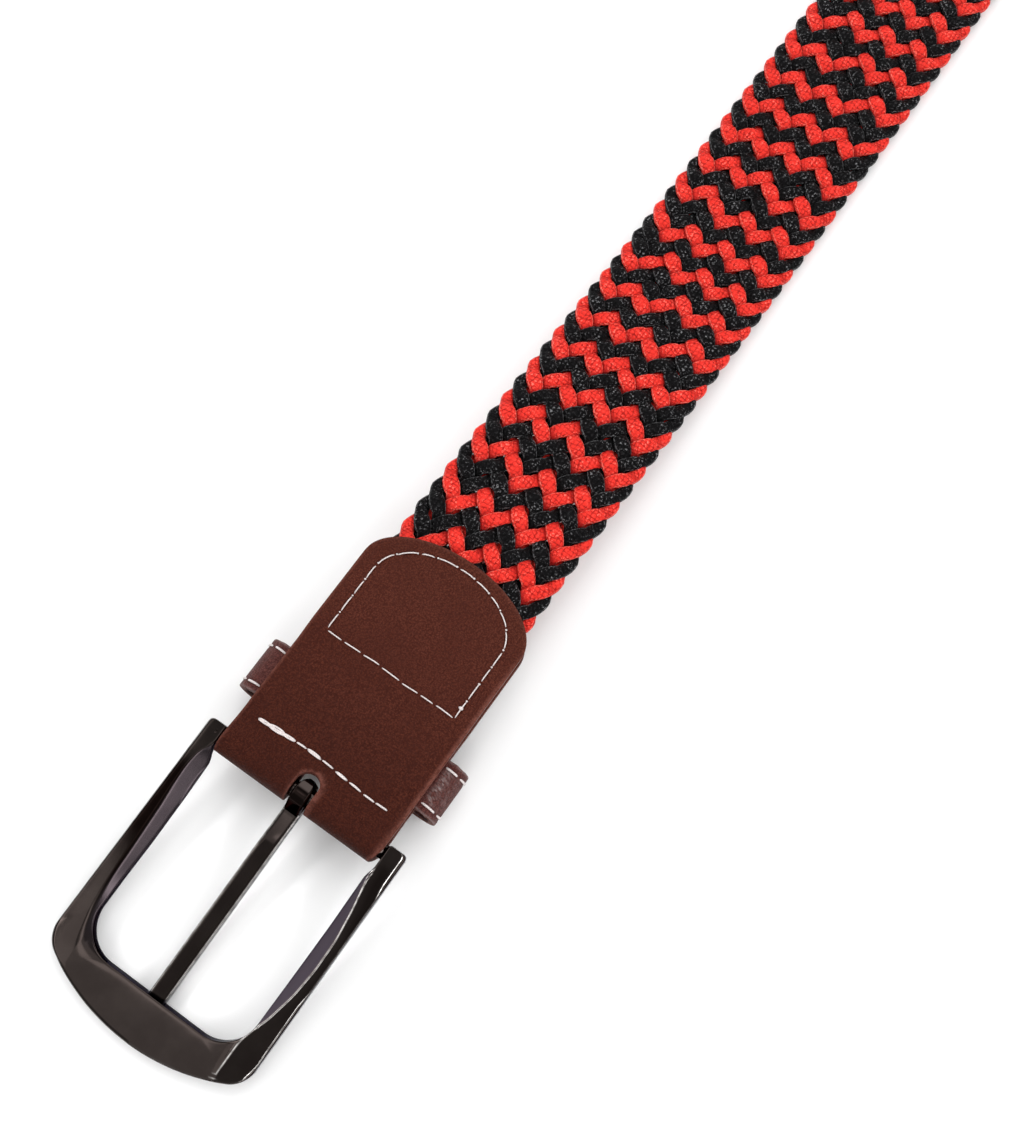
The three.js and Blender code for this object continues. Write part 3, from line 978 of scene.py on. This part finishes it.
def stitchesAlong(line, length, surface, size):
    # tubes from hole to hole along a line of the flat leather
    lengths = lengthsAlong(line)
    count = max(1, round(lengths[-1] / length))
    marks = np.linspace(0, lengths[-1], count + 1)
    marks[1:-1] += random.uniform(-thread["uneven"], thread["uneven"], count - 1) * length
    steps = thread["points"]
    arch = np.clip(1.6 * np.sin(np.linspace(0, np.pi, steps)), 0, 1)
    lift = -thread["sunk"] + (thread["sunk"] + thread["proud"] + size * 0.2) * arch
    tubes = []
    for a, b in zip(marks, marks[1:]):
        at = np.linspace(a + thread["hole"] / 2, b - thread["hole"] / 2, steps)
        path = surface(np.stack([np.interp(at, lengths, line[:, i]) for i in range(2)], axis=1), lift)
        path[:, 0] += random.uniform(-thread["uneven"], thread["uneven"]) * np.linspace(-1, 1, steps)
        tubes.append(sweep(path, size * (0.8 + 0.2 * arch), size * 0.8, thread["sides"], 2.0))
    return tubes


def knot(place, size, surface):
    # a small lump where the thread goes down
    turn = np.linspace(0, 1, 7)
    flat = np.stack([place[0] + (turn - 0.5) * size * 0.6, np.full(7, place[1])], axis=1)
    girth = size * np.sqrt(np.clip(1 - (2 * turn - 1) ** 2, 0.05, 1))
    path = surface(flat, -0.02 + 0.10 * np.sin(turn * np.pi))
    return sweep(path, girth, girth * 0.7, thread["sides"], 2.0, (0, 0.3, 1))


def foldStitch(first, last, shift, surface):
    # one thread of the thick line by the slot
    ys = np.linspace(first, last, 11) + random.uniform(-0.12, 0.12)
    line = foldLine()[::-1]
    bow = np.sin(np.linspace(0, np.pi, 11))
    xs = np.interp(ys, line[:, 1], line[:, 0]) + shift * (0.35 + 0.65 * bow) + random.uniform(-0.05, 0.05)
    arch = np.clip(1.8 * bow, 0, 1)
    path = surface(np.stack([xs, ys], axis=1), -thread["sunk"] + (thread["sunk"] + 0.16) * arch)
    return sweep(path, thread["thick"] * (0.75 + 0.25 * arch), thread["thick"] * 0.8, thread["sides"], 2.0)


def stitchPiece(name, tubes):
    points, faces, uv = joinTubes(tubes)
    newPiece(name, points, faces, "strap", [whiteThread], uv=uv)


def makeStitches():
    for layer, side in ((1, "back"), (-1, "front")):
        def surface(flat, out):
            return tabPoint(onStrip(flat, layer), tab["leather"] / 2 + out)

        panel = stitchesAlong(panelLine(), 3.9, surface, thread["fine"])
        base = stitchesAlong(baseLine(), 4.3, surface, thread["fine"])
        places = resample(panelLine(), 3.9)[1:-1]
        bumps = [knot(place, random.uniform(0.35, 0.55), surface) for place in places]
        bumps.append(knot((panelSeam["base"] + 2.2, -panelSeam["side"] + 0.1), 1.0, surface))
        stitchPiece(f"panel_stitches_{side}", panel + base + bumps)

        tubes = []
        for first, last, shifts in foldSeam["stitches"]:
            for shift in shifts:
                tubes.append(foldStitch(first, last, shift, surface))
        stitchPiece(f"fold_stitches_{side}", tubes)


def makeKeeperStitches():
    def surface(flat, out):
        return keeperPoint(flat, keeper["leather"] / 2 - 0.1 + out)

    tubes = []
    for across in (keeper["seamInset"], keeper["width"] - keeper["seamInset"]):
        around = np.linspace(0, keeperRound(), 60)
        line = np.stack([np.full(60, across), around], axis=1)
        tubes += stitchesAlong(line, 3.4, surface, 0.42)
    stitchPiece("keeper_stitches", tubes)


def makeTipStitches():
    for ply, side in ((1, "back"), (-1, "front")):
        def surface(flat, out):
            return tipPoint(flat, ply, tip["leather"] / 2 - 0.1 + out)

        tubes = []
        for seam in tipSeams():
            tubes += stitchesAlong(seam, 3.9, surface, thread["fine"])
        stitchPiece(f"tip_stitches_{side}", tubes)


makeStitches()
makeKeeperStitches()
makeTipStitches()
print("stitches made")


# Buckle frame: a bent bar whose arms have a scooped inner facet

buckle = {
    "armEnd": -1.7,
    "outerHinge": {1: 21.5, -1: 21.65},
    "outerCorner": {1: 22.0, -1: 21.45},
    "innerHinge": 18.0,
    "innerArm": {  # a and b along the arms' inner edges
        1: ((3.2, 18.0), (5.2, 17.12), (12, 16.98), (22, 16.96), (30, 17.16), (36, 17.2)),
        -1: ((3.2, 18.0), (5.0, 17.42), (15, 17.42), (25, 17.28), (36, 17.2)),
    },
    "innerCorner": 17.2,
    "restEdge": 50.9,  # a of the front bar's lower edge, which stands on the ground
    "frontOuter": 51.6,
    "bow": 41,
    "cornerOut": 5,
    "frontInner": 42.9,
    "cornerIn": 7,
    "thickArm": 3.4,
    "thickFront": 3.6,
    "barRadius": 1.4,
    "notchWidth": 4.0,
}
lowEdge = (buckle["restEdge"], buckle["thickFront"] / 2)
frameSlope = math.asin(hingeZ / math.hypot(*lowEdge)) - math.atan2(lowEdge[1], lowEdge[0])


def onFrame(a, b, h):
    # a from the hinge bar towards the front bar, b across the belt, h up out of the frame's plane
    c, s = math.cos(frameSlope), math.sin(frameSlope)
    return np.stack([hingeX - a * c - h * s, b, hingeZ - a * s + h * c], axis=-1)


def onArc(a, b, radius, turn):
    return a + radius * math.cos(turn), b + radius * math.sin(turn)


def frameStations(side):
    # half of the outer and inner outlines, each row with its thickness and its place along the frame:
    # 0 at the arm's end, 1 and 2 at the corner's ends, 3 at the middle of the front bar
    steps = {"arm": 44, "corner": 56, "front": 20}
    bowCentre = buckle["frontOuter"] - buckle["bow"]
    outerHinge, outerCorner = buckle["outerHinge"][side], buckle["outerCorner"][side]
    outerB = outerCorner - buckle["cornerOut"]
    outerA = bowCentre + math.sqrt((buckle["bow"] - buckle["cornerOut"]) ** 2 - outerB**2)
    bowAngle = math.atan2(outerB, outerA - bowCentre)
    innerA = buckle["frontInner"] - buckle["cornerIn"]
    innerB = buckle["innerCorner"] - buckle["cornerIn"]
    ends = np.array([0, 0.05, 0.12, 0.22, 0.35, 0.6, 1.0])  # close together where the arm's end is rounded
    long = outerA - buckle["armEnd"]
    rows = []
    for t in np.concatenate([ends / long, np.linspace(1.5 / long, 1, steps["arm"] + 1)[:-1]]):
        past = t * long
        shrink = 0.35 - math.sqrt(0.35**2 - max(0.35 - past, 0) ** 2)
        plan = 1.0 - math.sqrt(1.0 - max(1.0 - past, 0) ** 2)
        outer = (buckle["armEnd"] + long * t, outerHinge + (outerCorner - outerHinge) * t - plan)
        along = buckle["armEnd"] + past * (innerA - buckle["armEnd"]) / long
        near = np.interp(along + np.linspace(-0.5, 0.5, 5), *zip(*buckle["innerArm"][side]))
        inner = (along, float(np.mean(near)) + shrink)
        rows.append((outer, inner, buckle["thickArm"] - 2 * shrink, t))
    for t in np.arange(steps["corner"]) / steps["corner"]:
        outer = onArc(outerA, outerB, buckle["cornerOut"], math.pi / 2 + (bowAngle - math.pi / 2) * t)
        inner = onArc(innerA, innerB, buckle["cornerIn"], math.pi / 2 * (1 - t))
        thick = buckle["thickArm"] + (buckle["thickFront"] - buckle["thickArm"]) * t
        rows.append((outer, inner, thick, 1 + t))
    for t in np.arange(steps["front"] + 1) / steps["front"]:
        outer = onArc(bowCentre, 0, buckle["bow"], bowAngle * (1 - t))
        rows.append((outer, (buckle["frontInner"], innerB * (1 - t)), buckle["thickFront"], 2 + t))
    return rows


scoop = {
    # the ridge between an arm's inner and outer facets, as a and b
    # side -1 is the right arm, whose ridge runs on over the corner as a crease
    "ridge": {
        1: ((1.6, 17.6), (2.6, 18.5), (4.5, 19.7), (8.0, 20.2), (11.7, 20.2), (19.9, 19.8), (28.9, 19.4),
            (33.0, 19.2), (36.7, 18.8), (42.0, 17.6), (52.0, 14.0)),
        -1: ((1.6, 17.4), (3.1, 18.0), (6.3, 18.3), (11.3, 19.2), (17.1, 19.9), (23.1, 19.95), (28.6, 19.45),
             (34.3, 18.25), (37.8, 16.95), (40.0, 16.4), (52.0, 16.3)),
    },
    "crease": 16.4,  # across, where an arm's outer facet meets the front bar's top
    "step": 0.35,
    "tilt": (0.105, 0.011),  # fall of the outer facet per mm and per mm squared
    "fall": {1: 0.72, -1: 0.50},  # slope of the inner facet
    "fillet": {1: (28, 48), -1: (33.5, 39.3)},
    # the left ridge's softness, at a
    "lens": ((2, 0.3), (8, 0.5), (16, 0.9), (26, 0.9), (34, 0.75), (40, 0.5)),
    "softened": 0.17,  # the right ridge's
    "hollow": 0.55,  # how softly the right facet runs out into the corner
    "satinEnds": (1.1, 1.35),  # along half the frame
    "darkReflection": {1: (4, 9, 20, 31), -1: (0, 1, 26, 38)},  # where painted dark reflection darkens the polish
}
edges = {
    # the outer edge along half the frame: its bevel's slope in degrees and how far it is rounded
    "slant": {1: ((0, 3), (19, 19)), -1: ((0, 3), (0, 0))},
    "round": {
        1: ((0, 3), (0.28, 0.28)),
        -1: ((0, 0.15, 0.21, 0.64, 0.72, 0.94, 0.97, 1.02, 1.30, 1.5, 3),
             (0.85, 0.85, 0.22, 0.22, 0.90, 0.80, 0.60, 0.90, 0.80, 0.30, 0.30)),
    },
}
edgeReach = np.array([0.95, 0.86, 0.77, 0.69, 0.61, 0.54, 0.47, 0.40, 0.32, 0.24, 0.16, 0.09, 0.04, 0.0])
innerEdge = np.array([(0, 0.24), (0.02, 0.13), (0.08, 0.05), (0.18, 0.01)])


def softMin(first, second, spread):
    share = np.clip(0.5 + 0.5 * (second - first) / spread, 0, 1)
    return second + (first - second) * share - spread * share * (1 - share)


def ridgeAt(a, side):
    table = np.array(scoop["ridge"][side])
    near = [np.interp(a + shift, table[:, 0], table[:, 1]) for shift in np.linspace(-0.8, 0.8, 7)]
    return np.mean(near, axis=0)


def outerFacet(a, b, side):
    beyond = b - scoop["crease"]
    fall = scoop["tilt"][0] * beyond + scoop["tilt"][1] * np.maximum(beyond, 0) ** 2
    if side > 0:
        return -np.maximum(fall, 0)
    return scoop["step"] * (1 - 0.6 * smooth(a, 42, 48.5)) - fall


def topHeight(a, b, side, place):
    # the top's height over the front bar's level, then how satin it is (satin facets also get a painted
    # sheen), how much painted highlight runs along the ridge, and how much painted dark reflection it gets
    # there
    ridge = ridgeAt(a, side)
    outer = outerFacet(a, b, side)
    begun = smooth(a, 1.0, 2.6)
    fromA, fullA, partA, toA = scoop["darkReflection"][side]
    ahead = a + 0.6 * np.maximum(15.5 - b, 0)
    if side > 0:
        fall = scoop["fall"][side] * (1 - smooth(ahead, *scoop["fillet"][side]))
        drop = np.maximum(outer - outerFacet(a, ridge, side) + fall * (ridge - b), 0)
        soft = np.interp(a, *zip(*scoop["lens"]))
        eased = np.where(drop < soft, drop**2 / (2 * soft), drop - soft / 2)
        share = smooth(drop / soft, 0.45, 1.05)
        facet = 0.5 * share * begun * (1 - smooth(ahead, 38, 46))
        shift = 9 * smooth(drop / soft, 0, 0.25)
        darkReflection = smooth(a, fromA, fullA) * (1 - smooth(a - shift, partA, toA))
        return outer - eased, facet, 0 * facet, darkReflection * (1 - share)
    inner = outerFacet(a, ridge, side) - scoop["fall"][side] * (ridge - b)
    front = -3 * (1 - smooth(ahead, *scoop["fillet"][side]))
    low = -softMin(-inner, -front, scoop["hollow"])
    facet = np.clip(0.5 + (outer - inner - 0.16) / 0.10, 0, 1) * begun
    facet = facet * (1 - smooth(place, *scoop["satinEnds"]))
    # a painted highlight along the right arm's ridge
    line = np.exp(-(((outer - inner) / 0.07) ** 2)) * begun
    darkReflection = 0.5 * begun * (1 - smooth(a, partA, toA)) * smooth(b - ridge, 0.4, 1.8)
    return softMin(outer, low, scoop["softened"]), facet, line, darkReflection


def between(inner, outer, share):
    return (inner[axis] + (outer[axis] - inner[axis]) * share for axis in (0, 1))


def frameSection(inner, outer, thick, place, side):
    # from the inner edge over the top and round underneath; also how satin each point is (with a painted
    # sheen), how rubbed and lit by a painted highlight, and how much painted dark reflection it gets
    width = math.dist(inner, outer)
    half = thick / 2
    slant = math.tan(math.radians(float(np.interp(place, *edges["slant"][side]))))
    radius = float(np.interp(place, *edges["round"][side]))
    rounded = radius - np.sqrt(radius**2 - np.maximum(radius - edgeReach, 0) ** 2)

    # points crowd together at the ridge
    trial = np.linspace(0, 1, 400)
    a, b = between(inner, outer, trial)
    past = ridgeAt(a, side) < b
    found = width * (trial[np.argmax(past)] if past.any() else 1.0)
    ridge = min(max(found, 0.92), width - 1.70)
    close = np.array([0.08, 0.16, 0.25, 0.36, 0.50])
    near = ridge + np.concatenate([-close[::-1], [0], close])
    outside = np.linspace(ridge + 0.60, width - 1.05, 9)
    middle = np.concatenate([np.linspace(0.32, ridge - 0.60, 13), near, outside])

    across = np.concatenate([innerEdge[:, 0], middle, width - edgeReach])
    edge = slant * np.maximum(0.62 - edgeReach, 0) + rounded
    sink = np.concatenate([innerEdge[:, 1], 0 * middle, edge])
    a, b = between(inner, outer, across / width)
    rise, facet, line, darkReflection = topHeight(a, b, side, place)
    crown = 0.10 * (2 * across / width - 1) ** 2 * float(smooth(place, 1.2, 2.2))
    top = np.maximum(half + rise - sink - crown, -0.4 * half)
    # painted highlight along the outer edge's rounding, where a lamp's glint falls
    if side > 0:
        lit, strength = 0.13, float(0.6 - 0.35 * smooth(place, 0.7, 1.1))
    else:
        lit, strength = 0.68 * radius, float(np.clip((radius - 0.3) / 0.3, 0.15, 1))
    wearAndHighlight = np.maximum(line, np.exp(-(((width - across - lit) / 0.13) ** 2)) * strength)

    corner = np.array([(0, -0.55 * half), (0, 0.25 - half), (0.08, 0.07 - half), (0.25, -half)])
    under = np.concatenate([[width, 0] + corner * [-1, 1], corner[::-1]])
    # the inner wall counts as satin too, with the painted sheen
    wall = np.where(under[:, 0] == 0, 0.8, 0.0)
    a, b = between(inner, outer, np.concatenate([across, under[:, 0]]) / width)
    ring = onFrame(a, side * b, np.concatenate([top, under[:, 1]]))
    marks = ((facet, wall), (wearAndHighlight, 0 * wall), (darkReflection, 0 * wall))
    return ring, *(np.concatenate(parts) for parts in marks)


def frameRings():
    made = [frameSection(inner, outer, thick, place, side)
            for side, rows in ((1, frameStations(1)), (-1, frameStations(-1)[-2::-1]))
            for outer, inner, thick, place in rows]
    return [np.array(part) for part in zip(*made)]


prong = {
    "width": 3.4,
    "reach": 46.7,
    "thickRoot": 2.0,
    "thickTip": 1.6,
    "curlWall": 1.3,
    "clearance": 0.3,
    "tipLift": 0.1,
    "curlTo": 240,  # degrees round the hinge bar from below
    "tail": 2.8,  # length of the straight end after that
    "dome": 2.75,  # how fast the curl narrows towards its far end
    "paintedShade": 0.85,  # how much painted dark reflection the curl's near side gets, from these degrees on
    "paintedShadeFrom": (166, 176),
    "camber": 0.20,
    "camberAt": -8.0,
    "roll": 0.17,
    "rollFrom": (-5.0, -9.0),
}
# the bar's section as shares of half its width and thickness, and each point's angle in the curl's section
prongSection = (
    (1.0, -0.75, -35), (1.0, 0.62, 12), (0.95, 0.86, 25), (0.80, 1.0, 38), (0.48, 1.0, 58), (0.16, 1.0, 80),
    (-0.16, 1.0, 100), (-0.48, 1.0, 122), (-0.80, 1.0, 142), (-0.95, 0.86, 155), (-1.0, 0.62, 168),
    (-1.0, -0.75, 215), (-0.9, -1.0, 235), (0.9, -1.0, 305),
)


def prongRise():
    rootLow = hingeZ - buckle["barRadius"] - prong["clearance"] - prong["curlWall"]
    return (rootLow - prong["tipLift"]) / prong["reach"]


def cutWith(piece, cutter):
    finished(piece, ("BOOLEAN", {"operation": "DIFFERENCE", "solver": "EXACT", "object": cutter}))
    bpy.context.view_layer.update()
    evaluated = piece.evaluated_get(bpy.context.evaluated_depsgraph_get())
    made = bpy.data.meshes.new_from_object(evaluated)
    piece.modifiers.clear()
    piece.data = made
    bpy.data.objects.remove(cutter)


def notchCutter():
    # the hollow under the front bar that the prong's tip lies in
    tipX = hingeX - prong["reach"]
    rise = prongRise()
    back = hingeX - (buckle["frontInner"] - 4)
    ends = []
    for x in (tipX - 0.6, back):
        top = prong["tipLift"] + rise * (x - tipX) + prong["thickTip"] + 0.35
        half = buckle["notchWidth"] / 2
        ends.append([(x, half, -3), (x, -half, -3), (x, -half, top), (x, half, top)])
    points = np.array(ends).reshape(-1, 3)
    mesh = bpy.data.meshes.new("notch")
    mesh.from_pydata((points * mm + foldAt).tolist(), [], tubeFaces(2, 4))
    cutter = bpy.data.objects.new("notch", mesh)
    bpy.context.scene.collection.objects.link(cutter)
    return cutter


def makeFrame():
    rings, satinAndSheen, wearAndHighlight, darkReflection = frameRings()
    count, sides = rings.shape[:2]
    marks = {"satinAndSheen": satinAndSheen.ravel(), "wearAndHighlight": wearAndHighlight.ravel(), "darkReflection": darkReflection.ravel()}
    piece = newPiece("buckle_frame_body", rings.reshape(-1, 3), tubeFaces(count, sides), "buckle",
                     [blackNickel], marks=marks, replaces=["buckle_frame"])
    cutWith(piece, notchCutter())
    piece.data.set_sharp_from_angle(angle=math.radians(50))
    finished(piece, ("WEIGHTED_NORMAL", {"weight": 50, "keep_sharp": True}))

    ys = np.linspace(-buckle["innerHinge"] - 1.2, buckle["innerHinge"] + 1.2, 9)
    path = np.stack([np.full(9, hingeX), ys, np.full(9, hingeZ)], axis=1)
    bar, faces, uv = joinTubes([sweep(path, 2 * buckle["barRadius"], 2 * buckle["barRadius"], 32, 2.0)])
    newPiece("hinge_bar", bar, faces, "buckle", [blackNickel], uv=uv)


makeFrame()
print("buckle frame made")


# Prong: a flat bar that runs to the front bar, its other end curled round the hinge bar

def makeProng():
    curl = buckle["barRadius"] + prong["clearance"] + prong["curlWall"] / 2
    tipX = hingeX - prong["reach"]
    rise = prongRise()
    xs = np.concatenate([[tipX, tipX + 0.25, tipX + 0.7], np.linspace(tipX + 1.4, hingeX - 3.4, 44)])
    share = (xs - tipX) / prong["reach"]
    full = prong["thickTip"] + (prong["thickRoot"] - prong["thickTip"]) * share
    camber = prong["camber"] * np.exp(-(((xs - prong["camberAt"]) / 5) ** 2))
    bar = np.stack([xs, 0 * xs, prong["tipLift"] + rise * (xs - tipX) + full / 2 + camber], axis=1)
    barThick = full.copy()
    barThick[:3] *= (0.45, 0.8, 0.95)

    turn = np.radians(np.linspace(12, prong["curlTo"], 48))
    ring = np.stack([hingeX + curl * np.sin(turn), 0 * turn, hingeZ - curl * np.cos(turn)], axis=1)
    heading = np.array([math.cos(turn[-1]), 0, math.sin(turn[-1])])
    tail = ring[-1] + heading * np.linspace(0.5, prong["tail"], 7)[:, None]
    path = np.concatenate([bar, ring, tail])
    curling = np.concatenate([0 * xs, smooth(np.degrees(turn), 12, 60), np.ones(len(tail))])
    thick = np.concatenate([barThick, np.full(len(turn) + len(tail), prong["curlWall"])])
    width = prong["width"] * (1 - 0.03 * curling)
    gone = np.clip((3 * np.sin(turn) - 0.3) / prong["dome"], 0, 0.96)
    width[len(xs):len(xs) + len(turn)] *= 1 - (1 - np.sqrt(1 - gone**2)) * smooth(np.degrees(turn), 57, 88)
    width[:3] *= (0.86, 0.95, 0.99)

    table = np.array(prongSection)
    angle = np.radians(table[:, 2])
    domed = np.stack([np.cos(angle), np.maximum(np.sin(angle), -0.9)], axis=1)
    domed = np.sign(domed) * np.abs(domed) ** 0.7
    section = table[None, :, :2] + (domed - table[:, :2])[None] * curling[:, None, None]
    tangent = unit(np.gradient(path, axis=0))
    side = np.array([[0.0, 1.0, 0.0]])
    lift = np.cross(tangent, side)
    roll = prong["roll"] * smooth(path[:, 0], *prong["rollFrom"]) * (1 - curling)
    high = section[:, :, 1] * thick[:, None] / 2 + roll[:, None] * section[:, :, 0] * width[:, None] / 2
    rings = (path[:, None] + side[:, None] * section[:, :, :1] * width[:, None, None] / 2
             + lift[:, None] * high[:, :, None])
    sides = len(prongSection)
    wearAndHighlight = np.tile(np.isin(np.arange(sides), (1, 2, 9, 10)) * 0.8, (len(path), 1))  # painted highlight and rubbing along the two upper edges
    # painted dark reflection over the curl, from its near side on
    shaded = smooth(np.degrees(turn), *prong["paintedShadeFrom"])
    darkReflection = np.repeat(prong["paintedShade"] * np.concatenate([0 * xs, shaded, np.ones(len(tail))]), sides)
    piece = newPiece("prong_bar", rings.reshape(-1, 3), tubeFaces(len(path), sides), "tongue",
                     [blackNickel], marks={"wearAndHighlight": wearAndHighlight.ravel(), "darkReflection": darkReflection}, replaces=["prong"])
    finished(piece, ("WEIGHTED_NORMAL", {"weight": 50}))


makeProng()
print("prong made")


# Studio: pale floor, soft light, and a camera at the photo's angle

camera = {
    "place": (-22.04, -44.46, 300.21),  # from the fold
    "view": (0.2611, 0.1288, -0.9567),
    "up": (0.7749, 0.5630, 0.2873),
    "lens": 52.06,
    "sensor": 36,
}


def makeCamera():
    data = bpy.data.cameras.new("camera")
    data.lens = camera["lens"]
    data.sensor_width = camera["sensor"]
    data.clip_start = 0.01
    piece = bpy.data.objects.new("camera", data)
    view = Vector(camera["view"]).normalized()
    right = view.cross(Vector(camera["up"])).normalized()
    up = right.cross(view)
    turned = Matrix((right, up, -view)).transposed().to_4x4()
    turned.translation = Vector(camera["place"]) * mm + Vector(foldAt)
    piece.matrix_world = turned
    bpy.context.scene.collection.objects.link(piece)
    bpy.context.scene.camera = piece


def makeFloor():
    size, low = 6.0, -0.0004
    mesh = bpy.data.meshes.new("floor")
    corners = [(x * size, y * size, low) for x, y in ((-1, -1), (1, -1), (1, 1), (-1, 1))]
    mesh.from_pydata(corners, [], [[0, 1, 2, 3]])
    material, tree, shader = newMaterial("floor", {"Roughness": 0.9, "Specular IOR Level": 0.1})
    place = tree.nodes.new("ShaderNodeTexCoord").outputs["Object"]
    tint = blendColours(tree, noise(tree, place, 3.0), (0.90, 0.90, 0.90, 1), (0.93, 0.93, 0.93, 1))
    tree.links.new(tint, shader.inputs["Base Color"])
    mesh.materials.append(material)
    floor = bpy.data.objects.new("floor", mesh)
    bpy.context.scene.collection.objects.link(floor)


lights = {
    # place and size in metres, power in watts; metal mirrors only the lights that have their own aim
    "right": {"place": (-0.25, -0.85, 0.75), "size": (1.1, 0.45), "power": 4.5},
    "left": {"place": (-0.25, 0.85, 0.75), "size": (1.1, 0.45), "power": 4.5},
    "back": {"place": (0.45, 0.30, 0.8), "size": (0.5, 0.5), "power": 0.8},
    "front": {"place": (-1.20, -0.30, 0.7), "size": (0.5, 0.5), "power": 2.5},
    "top": {"place": (0.25, 0.1, 1.3), "size": (1.3, 1.6), "power": 3.6},
    "rightLine": {"place": (-0.75, -0.90, 0.74), "size": (1.4, 0.22), "power": 4.5, "aim": (-0.75, 0)},
    "leftLine": {"place": (-0.75, 0.80, 0.80), "size": (1.4, 0.20), "power": 4.5, "aim": (-0.75, 0)},
    "panel": {"place": (-0.95, 0.21, 1.3), "size": (1.0, 0.44), "power": 0.76, "aim": (-0.95, 0.21)},
    "panelLeft": {"place": (-1.17, 0.70, 1.3), "size": (0.56, 0.58), "power": 1.0, "aim": (-1.17, 0.70)},
    "panelRoot": {"place": (-0.735, 0.20, 1.28), "size": (0.16, 0.2), "power": 0.15, "aim": (-0.735, 0.20)},
    "panelBack": {"place": (0.45, 0.20, 0.80), "size": (0.7, 1.5), "power": 4.6, "aim": (-0.52, 0.20)},
}


def makeLights():
    for name, light in lights.items():
        data = bpy.data.lights.new(name, "AREA")
        data.shape = "RECTANGLE"
        data.size, data.size_y = light["size"]
        data.energy = light["power"]
        piece = bpy.data.objects.new(name, data)
        piece.location = light["place"]
        piece.visible_glossy = "aim" in light
        target = Vector((*light.get("aim", (-0.42, 0)), 0))
        piece.rotation_euler = (target - piece.location).to_track_quat("-Z", "Y").to_euler()
        bpy.context.scene.collection.objects.link(piece)
    world = bpy.data.worlds.new("studio")
    world.use_nodes = True
    world.node_tree.nodes["Background"].inputs["Color"].default_value = (1, 1, 1, 1)
    world.node_tree.nodes["Background"].inputs["Strength"].default_value = 0.32
    bpy.context.scene.world = world
    bpy.context.scene.view_settings.view_transform = "Standard"


makeFloor()
makeLights()
makeCamera()
print("studio made")
